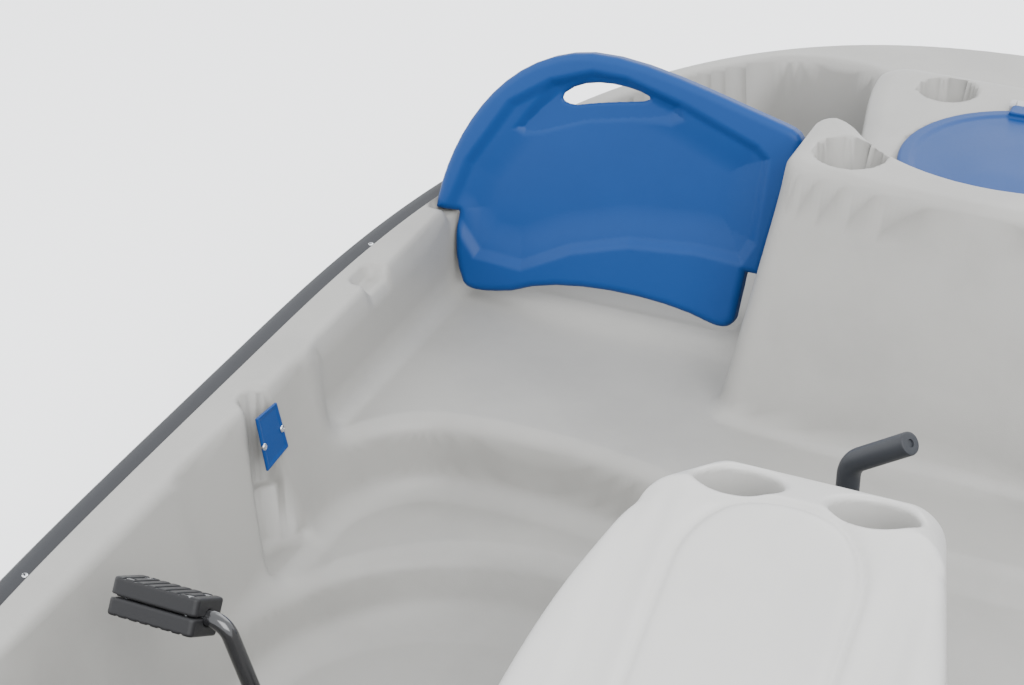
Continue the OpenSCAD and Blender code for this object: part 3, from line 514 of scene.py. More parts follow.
def shell(top: Sheet, under: Sheet, profile: Sequence[tuple[float, float]], lift: float | None = None) -> Surface:
    """Closed shell from a fine sheet, the rim that goes round it and a coarse sheet below.

    Args:
        top: The fine sheet, seen from above.
        under: The coarse sheet.
        profile: Rings of the rim, as (distance outwards, height).
        lift: Height of the walls round the hole, or None for no walls.

    Returns:
        The closed shell.
    """
    n = len(top.outer)
    rings = rim_rings(top.verts[top.outer], profile)
    shift = len(top.verts)
    low = shift + rings.shape[0] * n
    verts = np.vstack([top.verts, rings.reshape(-1, 3), under.verts])
    faces = [tuple(f) for f in top.faces.tolist()]
    loops = [top.outer] + [list(range(shift + k * n, shift + (k + 1) * n)) for k in range(len(rings))]
    for a, b in zip(loops[:-1], loops[1:]):
        for i in range(n):
            j = (i + 1) % n
            faces.append((a[j], a[i], b[i], b[j]))
    faces += [tuple(i + low for i in reversed(f)) for f in under.faces.tolist()]
    faces += zipped(verts, loops[-1], [i + low for i in under.outer])
    edge = top.hole
    if lift is not None:
        base = top.verts[edge]
        x, y = base[:, 0], base[:, 1]
        x0, x1, y0, y1 = x.min(), x.max(), y.min(), y.max()
        out_x = WALL * ((x > x1 - 0.1).astype(float) - (x < x0 + 0.1))
        out_y = WALL * ((y > y1 - 0.1).astype(float) - (y < y0 + 0.1))
        level = np.full(len(edge), lift)
        rings = [np.column_stack([x, y, level]), np.column_stack([x + out_x, y + out_y, level])]
        for ring in rings:
            following = list(range(len(verts), len(verts) + len(edge)))
            verts = np.vstack([verts, ring])
            for i in range(len(edge)):
                j = (i + 1) % len(edge)
                faces.append((edge[j], edge[i], following[i], following[j]))
            edge = following
    faces += zipped(verts, edge, [i + low for i in under.hole])
    return Surface(verts, faces)


# ---------------------------------------------------------------- deck


def well(x: Array, y: Array, z: Array, b, z0: float, top: float, lean, r: float) -> Array:
    """Distance to a well with leaning walls and a rounded foot, negative inside it."""
    rise = (z - z0 - 26) / (top - z0 - 26)
    slope = max(lean) / (top - z0)
    plan = rounded_box(
        x,
        y,
        b[0] - lean[0] * rise,
        b[1] + lean[1] * rise,
        b[2] - lean[2] * rise,
        b[3] + lean[3] * rise,
        np.maximum(r + 0.6 * max(lean) * rise, 12),
    )
    return round_max(plan / math.hypot(1, slope), z0 - z, 26)


def foot_space(u: Array, y: Array, z: Array) -> Array:
    """Distance to a footwell, whose aft end is one wide arc that leans back."""
    rise = (z - FLOOR_Z) / (STEP_Z - FLOOR_Z)
    across, along = 281 + 19 * rise, 245 + 55 * rise
    plan = np.hypot(u - 400, np.maximum(y + 330, 0) * across / along) - across
    plan = round_max(plan, 256 - 4 * rise - u, 56)
    plan = round_max(plan, -905 - 14 * rise - y, 60)
    return round_max(0.85 * plan, FLOOR_Z - z, 34)


def step_space(u: Array, y: Array, z: Array) -> Array:
    """Distance to the space over the ledge between a footwell and the bench, whose front edge bows aft."""
    rise = (z - STEP_Z) / (BENCH_Z - STEP_Z)
    edge = 66 + 18 * rise - 0.0007 * (u - 480) ** 2
    plan = round_max(u - 701 - 20 * rise, 0.95 * (y - edge), 120)
    plan = round_max(plan, 256 - 4 * rise - u, 50)
    plan = round_max(plan, -350 - y, 40)
    return round_max(plan, STEP_Z - z, 30)


def deck_wells(x: Array, y: Array, z: Array) -> Array:
    """Distance to the space in the footwells and over the benches, negative inside it."""
    u = np.abs(x)
    top = HUMP_Z + 40
    foot = foot_space(u, y, z)
    step = step_space(u, y, z)
    bridge = well(u, y, z, (-265, 265, -960, 40), BRIDGE_Z, top, (10, 10, 60, 20), 40)
    bench = well(u, y, z, (-737, 737, -30, 700), BENCH_Z, top, (34, 34, 6, 0), 44)
    rear = well(u, y, z, (240, 731, 430, 950), BENCH_Z - 6, top, (10, 34, 0, 70), 100)
    rear_foot = well(u, y, z, (266, 560, 700, 880), FLOOR_Z + 50, 292, (10, 16, 16, 16), 60)
    low = round_min(foot, bridge, 26)
    low = round_min(low, step, 20)
    low = round_min(low, bench, 22)
    low = round_min(low, rear, 10)
    low = round_min(low, rear_foot, 12)
    return round_max(low, outline(x, y) + 44 + 38 * smooth_step(500, 680, y), 30)


def deck_field(x: Array, y: Array, z: Array) -> Array:
    """Distance to the deck as if it were solid below its top, negative inside it."""
    u = np.abs(x)
    away = outline(x, y)
    quarter = round_max(0.95 * (away + 34 + (z - 400) * 0.3), 0.78 * (540 + 0.75 * (z - 300) - y), 20)
    quarter = round_max(quarter, z - 446, 12)
    body = round_min(z - GUNWALE_Z, quarter, 24)
    body = round_max(body, -deck_wells(x, y, z), 14)
    brow = 0.8 * (249 + 0.0015 * x**2 - y)
    shoulder = round_max(round_max(brow, u - 312, 60), y - 480, 20)
    body = round_min(body, round_max(shoulder, z - LEDGE_Z, 26), 70)
    side = 250 + 0.13 * (HUMP_Z - z)
    front = 302 + 0.0004 * x**2 - 0.08 * (HUMP_Z - z) - 0.3 * np.maximum(542 - z, 0)
    hump = round_max(rounded_box(x, y, -side, side, 200, 486, 30), front - y, 30)
    body = round_min(body, round_max(hump, z - HUMP_Z, 17), 20)
    wide = 228 + 0.06 * (505 - z) + 44 * smooth_step(560, 860, y)
    stern = round_max(round_max(u - wide, y - 884 - 1.1 * (505 - z), 50), 440 - y, 20)
    body = round_min(body, round_max(0.7 * stern, z - STERN_Z, 20), 26)
    lid = np.hypot(x, y - 624)
    basin = 0.75 * (lid - 181 - 0.8 * (z - STERN_Z))
    body = round_max(body, -round_max(basin, STERN_Z - z, 10), 12)
    body = round_max(body, -round_max(round_max(lid - 176, 472 - y, 30), STERN_Z - 12 - z, 2), 3)
    body = round_max(body, -round_max(round_max(lid - 158, 504 - y, 8), 268 - z, 10), 4)
    cup = np.minimum(
        round_max(np.hypot(u - 179, y - 385) - 43.5, 540 - z, 8),
        round_max(np.hypot(u - 163, y - 825) - 39, 443 - z, 8),
    )
    body = round_max(body, -cup, 7)
    for notch in (413.0, 178.0):
        pocket = rounded_box(u, y, 728, 777, notch - 26, notch + 26, 14)
        body = round_max(body, -round_max(pocket, LEDGE_Z - z, 8), 12)
    channel = round_max(np.hypot(u - 745, y + 150) - 22, 264 - z, 8)
    up = 0.17 * (z - 180)
    egg = round_max(np.hypot(u - 699 - up, y + 166) - 53 + 1.15 * up, 180 - z, 24)
    return round_max(body, -round_min(channel, egg, 8), 12)


def surface_height(field: Field, low: float, high: float):
    """Function of x and y for the height at which a field changes sign, found by halving."""

    def height(x: Array, y: Array) -> Array:
        levels = np.linspace(high, low, 28)
        a, b = np.full(x.shape, high), np.full(x.shape, low)
        found = np.zeros(x.shape, bool)
        for upper, lower in zip(levels[:-1], levels[1:]):
            hit = ~found & (field(x, y, np.full(x.shape, lower)) < 0)
            a[hit], b[hit] = upper, lower
            found |= hit
        for _ in range(12):
            mid = (a + b) / 2
            solid = field(x, y, mid) < 0
            b, a = np.where(solid, mid, b), np.where(solid, a, mid)
        return (a + b) / 2

    return height


class Deck:
    """Moulded deck with its footwells, benches, centre seat back and stern block."""

    TUNNEL = (-124.0, 124.0, -782.0, -338.0)

    def __init__(self, finish: bpy.types.Material):
        self.finish = finish

    def grid(self, fine: bool) -> tuple[Array, Array]:
        """Grid lines across and along; they are close together at walls."""
        if not fine:
            xs = lines([(0, 25), (124, 23), (640, 19)], 810)
            ys = lines([(-1160, 20), (-782, 25), (-338, 22)], 1160)
            return both_ways(xs), ys
        xs = lines([(0, 8), (124, 6.6), (226, 4.2), (306, 8), (600, 4.6)], 812)
        ys = lines(
            [
                (-1160, 5.5),
                (-868, 10),
                (-782, 10),
                (-338, 5.2),
                (112, 8),
                (232, 5),
                (502, 7),
                (700, 6.5),
                (990, 5.5),
            ],
            1160,
        )
        return both_ways(xs), ys

    def surface(self) -> Surface:
        """The deck's closed shell."""
        height = surface_height(deck_field, 84, 640)
        top = height_sheet(*self.grid(True), 30, self.TUNNEL, height)

        def beneath(x: Array, y: Array) -> Array:
            near = [height(x + a, y + b) for a in (-24, 0, 24) for b in (-24, 0, 24)]
            return np.minimum(np.min(near, axis=0) - 8, 366)

        under = height_sheet(*self.grid(False), 38, self.TUNNEL, beneath)
        profile = [(3.5, 399.2), (7, 396.2), (9.6, 391), (10, 378), (24, 377), (24, 372.2), (0, 372.2), (-5, 370)]
        whole = shell(top, under, profile)
        mesh_normals = gradient(deck_field, top.verts)
        n = len(top.verts)
        rings = whole.verts[n : n + len(profile) * len(top.outer)]
        out = gradient(lambda x, y, z: outline(x, y), rings)
        tilt = np.repeat([0.35, 0.75, 0.97, 0.9, 0.15, 0.2, 0.0, 0.0], len(top.outer))[:, None]
        sign = np.repeat([1, 1, 1, 1, 1, -1, -1, -1], len(top.outer))[:, None]
        rim = tilt * out + sign * np.sqrt(1 - tilt**2) * np.array([[0.0, 0.0, 1.0]])
        low = np.tile([0.0, 0.0, -1.0], (len(whole.verts) - n - len(rings), 1))
        whole.normals = np.vstack([mesh_normals, rim, low])
        return whole

    def build(self) -> None:
        """Builds and places the deck."""
        place("deck_moulding", self.surface(), self.finish, Body.BOAT, Slot.DECK, ["deck"])


class Hull:
    """Lower hull with two sponsons, the wheel's tunnel and the rudder's recess."""

    TUNNEL = (-124.0, 124.0, -782.0, -338.0)

    def __init__(self, finish: bpy.types.Material, foam_finish: bpy.types.Material):
        self.finish = finish
        self.foam_finish = foam_finish

    @staticmethod
    def field(x: Array, y: Array, z: Array) -> Array:
        """Distance to the space below the hull, negative inside it."""
        inset = -outline(x, y)
        profile = np.interp(inset, [20, 24, 30, 44, 64, 98, 140, 190], [367, 300, 190, 118, 58, 18, 3, 0])
        u = np.abs(x)
        keel = np.interp(u, [82, 96, 138, 158], [58, 55, 8, 0])
        bottom = np.maximum(profile, keel)
        recess = round_max(u - 112, 968 - y, 12)
        bottom = np.maximum(bottom, 150 * (recess < 0))
        return (z - bottom) * 0.5

    def surface(self) -> Surface:
        """The hull's closed shell."""

        def height(x: Array, y: Array) -> Array:
            return -2 * self.field(x, y, np.zeros(x.shape))

        xs = both_ways(lines([(0, 31), (84, 6.6), (124, 5), (164, 24), (600, 8), (740, 4)], 808))
        ys = lines([(-1160, 5), (-1020, 14), (-782, 22), (-338, 22), (900, 8), (960, 4), (1000, 6)], 1160)
        outer = height_sheet(xs, ys, 21, self.TUNNEL, height)
        inner = height_sheet(
            both_ways(lines([(0, 31), (124, 24), (640, 20)], 800)),
            lines([(-1150, 24), (-782, 37), (-338, 37)], 1150),
            30,
            self.TUNNEL,
            lambda x, y: np.minimum(height(x, y) + 8, 360),
        )
        profile = [(0.5, 362), (15, 367), (15, 371.8), (-2, 371.8)]
        whole = shell(outer, inner, profile, BRIDGE_Z - WALL - 0.5)
        return Surface(whole.verts, [tuple(reversed(f)) for f in whole.faces])

    @staticmethod
    def foam(x: Array, y: Array, z: Array) -> Array:
        """Distance to the buoyancy blocks under the benches, negative inside them."""
        block = rounded_box(np.abs(x), y, 384, 556, 122, 436, 14)
        return round_max(block, np.abs(z - 222) - 36, 8)

    def build(self) -> None:
        """Builds and places the hull and the foam in it."""
        place("hull_moulding", self.surface(), self.finish, Body.BOAT, Slot.HULL, ["hull_bottom"], 50)
        blocks = wrap(self.foam, (-556, 122, 186), (556, 436, 258), 6)
        place("foam_blocks_cut", blocks, self.foam_finish, Body.BOAT, Slot.FOAM, ["foam_blocks"])


class RubRail:
    """Rubber rail round the gunwale."""

    def __init__(self, finish: bpy.types.Material):
        self.finish = finish

    def build(self) -> None:
        """Sweeps the rail's section round the outline."""
        section = [
            (19.4, 378.4), (18.6, 390.6), (8, 393), (-3, 392), (-8, 388), (-10, 381), (-6, 377), (-6, 366),
            (-10, 362), (-8, 354), (-3, 350), (8, 349), (18.6, 353.4), (19.4, 366), (6.4, 366.4), (6.4, 377.6),
        ]
        points, normals = outline_points(0, 360)
        count, sides = len(points), len(section)
        verts = np.concatenate(
            [np.column_stack([points - inset * normals, np.full(count, z)]) for inset, z in section]
        )
        faces = []
        for k in range(sides):
            a, b = k * count, ((k + 1) % sides) * count
            for i in range(count):
                j = (i + 1) % count
                faces.append((a + i, a + j, b + j, b + i))
        place("rub_rail_profile", Surface(verts, faces), self.finish, Body.BOAT, Slot.RAIL, ["rub_rail"], 40)


# ---------------------------------------------------------------- wheel cover


class WheelCover:
    """White cover over the paddle wheel, with two drink-can recesses."""

    def __init__(self, finish: bpy.types.Material):
        self.finish = finish

    @staticmethod
    def body(x: Array, y: Array, z: Array) -> Array:
        """Distance to the cover's outer form without its recesses."""
        u = np.abs(x)
        flank = (u - 146 + 0.27 * (262 + y) + 0.1 * (z - 340)) / 1.04
        side = round_max(flank, u - 240 + 0.05 * (z - 245), 40)
        nose = ((z - 245) * 60 - (y + 930) * 70) / 92.2
        slope = ((z - 315) * 170 - (y + 870) * 169) / 239.7
        brow = ((z - 490) * 305 - (y + 700) * 117) / 326.7
        crown = (z - 598) * 0.94 + (y + 368) * 0.342
        front = round_max(round_max(nose, slope, 60), brow, 120)
        back = round_max(crown, y + 263 + 0.02 * (z - 245), 24)
        return round_max(side, round_max(front, back, 16), 36)

    @staticmethod
    def relief(x: Array, y: Array) -> Array:
        """Depth of the arched panel's edge line and of the dished ovals beside it."""
        u = np.abs(x)
        arch = np.hypot(u, np.maximum(y + 478, 0)) - 96
        oval = np.hypot(u - 136, np.maximum(y + 410, 0)) - 30
        fade = smooth_step(-760, -640, y)
        line = 6 * np.exp(-((arch / 7) ** 2)) - 3 * smooth_step(0, -22, arch)
        return fade * (line + 7 * smooth_step(2, -22, oval))

    @classmethod
    def field(cls, x: Array, y: Array, z: Array) -> Array:
        """Distance to the cover, negative inside it."""
        u = np.abs(x)
        plain = cls.body(x, y, z)
        outer = plain + cls.relief(x, y) * smooth_step(300, 420, z)
        cup = round_max(np.hypot(u - 71, y + 343) - 46, 508 - z, 10)
        form = round_max(outer, -cup, 8)
        cavity = np.maximum(plain + 17, -(cup - 12))
        flange = rounded_box(x, y, -244, 244, -942, -262, 60)
        form = round_min(form, round_max(flange, z - 250.3, 3), 8)
        arch = np.maximum(np.abs(y + 560) - 52, np.maximum(z - 328, 190 - u))
        form = round_max(np.maximum(form, -cavity), -arch, 5)
        return np.maximum(form, 245.3 - z)

    def build(self) -> None:
        """Builds and places the cover."""
        surface = wrap(self.field, (-244, -942, 245), (244, -262, 610), 4.8)
        place("wheel_cover_moulding", surface, self.finish, Body.BOAT, Slot.COVER, ["wheel_cover"])


# ---------------------------------------------------------------- seats and lid


class SeatBack:
    """Lift-out seat back with a dished panel, a raised rim and a hand hole."""

    RECLINE = math.radians(15)
    OUTLINE = (
        cubic([(-256, 92), (-252, 182), (-190, 330), (-52, 345)], 14)
        + cubic([(-52, 345), (20, 352), (120, 322), (226, 297)], 6)
        + cubic([(226, 297), (248, 292), (256, 284), (252, 262)], 5)
        + [(222, 92), (200, 92)]
        + cubic([(194, 24), (190, 10), (178, 8), (160, 12)], 5)
        + cubic([(160, 12), (90, 34), (-60, 34), (-130, -4)], 8)
        + cubic([(-130, -4), (-170, -14), (-196, -18), (-204, -6)], 5)
        + cubic([(-204, -6), (-218, 20), (-222, 40), (-223, 84)], 4)
        + [(-223, 92)]
    )
    HANDLE = (
        cubic([(-92, 284), (-100, 268), (-84, 266), (-70, 267)], 4)
        + cubic([(-70, 267), (-40, 276), (0, 284), (24, 288)], 4)
        + cubic([(24, 288), (44, 292), (44, 302), (20, 307)], 4)
        + cubic([(20, 307), (-20, 314), (-70, 312), (-92, 284)], 6)
    )
    PANEL = [
        (-243, 92), (-219, 170), (-164, 263), (-106, 304), (-46, 326), (4, 325), (87, 304), (196, 266),
        (215, 251), (212, 134), (196, 100), (129, 102), (34, 92), (-46, 67), (-117, 29), (-190, 32), (-214, 60),
    ]
    SCOOP = [
        (-156, 223), (-139, 215), (-112, 224), (-52, 249), (12, 263), (69, 267), (88, 278), (80, 299),
        (4, 320), (-46, 320), (-106, 298),
    ]

    def __init__(self, side: int, finish: bpy.types.Material):
        self.side = side
        self.finish = finish
        self.body = Body.SEAT_PORT if side > 0 else Body.SEAT_STARBOARD

    def field(self, u: Array, v: Array, w: Array) -> Array:
        """Distance in the seat's own frame: across, up the face and behind it."""
        edge = polygon_distance(u, v, self.OUTLINE)
        panel = polygon_distance(u, v, self.PANEL)
        scoop = polygon_distance(u, v, self.SCOOP)
        dish = 7 * smooth_step(2, -16, panel) + 9 * smooth_step(0, -34, edge) * smooth_step(0, -60, panel)
        front = np.minimum(dish + 7 * smooth_step(3, -18, scoop), 17.5)
        back = 30 - 6 * smooth_step(-20, -60, edge)
        solid = round_max(0.8 * edge, round_max(front - w, w - back, 6), 9)
        return round_max(solid, -polygon_distance(u, v, self.HANDLE) - 4, 6)

    def matrix(self) -> Matrix:
        """From the seat's frame (u, v, w) to the boat, in millimetres."""
        s, c = math.sin(self.RECLINE), math.cos(self.RECLINE)
        return Matrix(
            (
                (-self.side, 0, 0, self.side * 515),
                (0, s, c, 375),
                (0, c, -s, 300),
                (0, 0, 0, 1),
            )
        )

    def build(self) -> None:
        """Builds and places the seat back."""
        surface = moved(wrap(self.field, (-262, -22, -1), (262, 356, 31), 3.2), self.matrix())
        if self.side < 0:
            surface.faces = [tuple(reversed(f)) for f in surface.faces]
        node = self.body.value
        place(f"{node}_moulding", surface, self.finish, self.body, Slot.BLUE, [node])


class CoolerLid:
    """Round lid of the cooler, with a raised border and hinge lugs."""

    def __init__(self, finish: bpy.types.Material):
        self.finish = finish

    @staticmethod
    def field(x: Array, y: Array, z: Array) -> Array:
        """Distance to the lid at rest, negative inside it."""
        plan = round_max(np.hypot(x, y - 624) - 173, 475 - y, 40)
        top = 509 - 2.5 * smooth_step(-14, -24, plan) + 3 * smooth_step(-40, -120, plan)
        lid = round_max(plan, round_max(z - top, 493.4 - z, 4), 4)
        lug = rounded_box(np.abs(x), y, 30, 62, 764, 792, 4)
        return round_min(lid, round_max(lug, round_max(z - 515, 505.4 - z, 2), 2), 3)

    def build(self) -> None:
        """Builds and places the lid."""
        surface = wrap(self.field, (-186, 472, 490), (186, 808, 518), 3)
        place("cooler_lid_moulding", surface, self.finish, Body.LID, Slot.BLUE, ["cooler_lid"])


# ---------------------------------------------------------------- drive


CRANK_Y, CRANK_Z, THROW = -560.0, 288.0, 118.0


class Drive:
    """Bent-rod crankshaft, its paddle wheel and the four pedals."""

    PEDALS = {"so": (-1, True), "si": (-1, False), "pi": (1, False), "po": (1, True)}
    BODIES = {
        "so": "pedal_outer_starboard",
        "si": "pedal_inner_starboard",
        "pi": "pedal_inner_port",
        "po": "pedal_outer_port",
    }
    LEAN = math.radians(33)

    def __init__(self, rod: bpy.types.Material, wheel: bpy.types.Material, pedal: bpy.types.Material):
        self.rod = rod
        self.wheel = wheel
        self.pedal = pedal

    @staticmethod
    def rounded_path(points: Array, bend: float, steps: int = 9) -> Array:
        """Path through points in a plane whose corners are arcs."""
        out = [points[0]]
        for before, at, after in zip(points[:-2], points[1:-1], points[2:]):
            a = (at - before) / np.linalg.norm(at - before)
            b = (after - at) / np.linalg.norm(after - at)
            angle = math.acos(float(np.clip(a @ b, -1, 1)))
            cut = bend * math.tan(angle / 2)
            inward = (b - a) / np.linalg.norm(b - a)
            centre = at + inward * bend / math.cos(angle / 2)
            start = at - a * cut
            spoke = start - centre
            for k in range(steps + 1):
                t = angle * k / steps
                out.append(centre + spoke * math.cos(t) + a * bend * math.sin(t))
        out.append(points[-1])
        return np.array(out)

    def crankshaft(self) -> None:
        """The gloss black rod through both footwells."""
        half = [(283.6, 0), (327.6, -THROW), (472.4, -THROW), (554.6, THROW), (671, THROW)]
        flat = [(-x, z) for x, z in reversed(half)] + [(x, -z) for x, z in half]
        points = np.array([(x, CRANK_Y, CRANK_Z + z) for x, z in flat], float)
        path = self.rounded_path(points, 24)
        bar = sweep(path, 9.5, 28)
        for tag, (side, outer) in self.PEDALS.items():
            centre = self.centre(side, outer)
            bar = bar.joined(sweep(np.array([centre - (3, 0, 0), centre + (3, 0, 0)]), 13.5, 28))
        place("crank_rod", bar, self.rod, Body.CRANK, Slot.CRANK, ["crankshaft"], 40)

    @staticmethod
    def centre(side: int, outer: bool) -> Array:
        """Middle of a pedal."""
        rise = -side if outer else side
        return np.array([side * (627.0 if outer else 400.0), CRANK_Y, CRANK_Z + THROW * rise])

    @staticmethod
    def pedal_half(x: Array, y: Array, z: Array) -> Array:
        """Distance to a pedal's upper half in its own frame, with its outer end at -X."""
        plan = rounded_box(x, y, -52, 52, -31, 31, 7)
        solid = round_max(plan, round_max(z - 21, 0.5 - z, 3), 3.5)
        groove = np.abs((x + 6.5) % 13 - 6.5) - 1.6
        groove = np.maximum(np.maximum(groove, np.abs(x) - 44), 19.4 - z)
        notch = np.maximum(x + 44, z - 2.2)
        bore = np.hypot(y, z) - 9.7
        hole = np.hypot(np.abs(x) - 36, np.abs(y) - 20)
        sunk = np.maximum(hole - 5.4, 16.4 - z)
        cut = np.minimum(np.minimum(groove, notch), np.minimum(bore, sunk))
        return round_max(solid, -cut, 0.8)

    def pedals(self) -> None:
        """Both halves of each of the four pedals."""
        half = wrap(self.pedal_half, (-53, -32, -0.5), (53, 32, 22), 1.6)
        c, s = math.cos(self.LEAN), math.sin(self.LEAN)
        for tag, (side, outer) in self.PEDALS.items():
            at = self.centre(side, outer)
            for part, flip in (("upper", 1), ("lower", -1)):
                m = Matrix(
                    (
                        (-side, 0, 0, at[0]),
                        (0, c, s * flip, at[1]),
                        (0, -s, c * flip, at[2]),
                        (0, 0, 0, 1),
                    )
                )
                surface = moved(half, m)
                if side * flip > 0:
                    surface.faces = [tuple(reversed(f)) for f in half.faces]
                name = f"pedal_{tag}_{part}"
                place(f"{name}_moulding", surface, self.pedal, self.BODIES[tag], Slot.PEDAL, [name])

    def paddle_wheel(self) -> None:
        """Hub and discs of the wheel."""
        profile = [(9.6, -98), (24, -98), (24, -94.2), (92, -94), (96, -92), (96, -90.5), (92, -89)]
        profile += [(30, -88), (24, -82)]
        ring = profile + [(r, -z) for r, z in reversed(profile)]
        sides = 72
        turn = 2 * np.pi * np.arange(sides) / sides
        verts = np.vstack(
            [np.stack([np.full(sides, z), r * np.cos(turn), r * np.sin(turn)], -1) for r, z in ring]
        )
        faces = []
        count = len(ring)
        for i in range(count):
            n = (i + 1) % count
            for j in range(sides):
                k = (j + 1) % sides
                faces.append((i * sides + j, i * sides + k, n * sides + k, n * sides + j))
        hub = moved(Surface(verts, faces), Matrix.Translation((0, CRANK_Y, CRANK_Z)))
        place("wheel_hub_turning", hub, self.wheel, Body.CRANK, Slot.WHEEL, ["wheel_hubs"], 35)

    def build(self) -> None:
        """Builds and places the drive."""
        self.crankshaft()
        self.pedals()
        self.paddle_wheel()


class Tiller:
    """Bent tiller bar with a capped end."""

    def __init__(self, finish: bpy.types.Material):
        self.finish = finish

    def build(self) -> None:
        """Builds and places the bar."""
        turn, rise, y0 = math.radians(-18), math.radians(38), -182.0
        flat = np.array([(0, 202), (0, 528), (88 * math.cos(rise), 528 + 88 * math.sin(rise))])
        points = np.stack([flat[:, 0] * math.cos(turn), y0 + flat[:, 0] * math.sin(turn), flat[:, 1]], -1)
        path = Drive.rounded_path(points, 34, 12)
        collar = turned([(13, 250.4), (18, 250.6), (18, 256.5), (16.5, 258.2), (13, 258.4)])
        bar = sweep(path, 13, 36).joined(moved(collar, Matrix.Translation((0, y0, 0))))
        place("tiller_bar", bar, self.finish, Body.TILLER, Slot.GRIP, ["tiller_post"], 40)
        ahead = path[-1] - path[-2]
        ahead /= np.linalg.norm(ahead)
        cap = turned([(0.8, 1.2), (4, 1.2), (4.6, 3), (10.5, 3.4), (12.4, 2.4), (13, 0.8), (12.9, 0.02), (4, 0.02)][::-1])
        turn_to = Vector(ahead.tolist()).to_track_quat("Z", "Y").to_matrix().to_4x4()
        cap = moved(cap, Matrix.Translation(path[-1].tolist()) @ turn_to)
        place("tiller_end_cap", cap, self.finish, Body.TILLER, Slot.GRIP, ["tiller_cap"], 35)


# ---------------------------------------------------------------- repeated parts


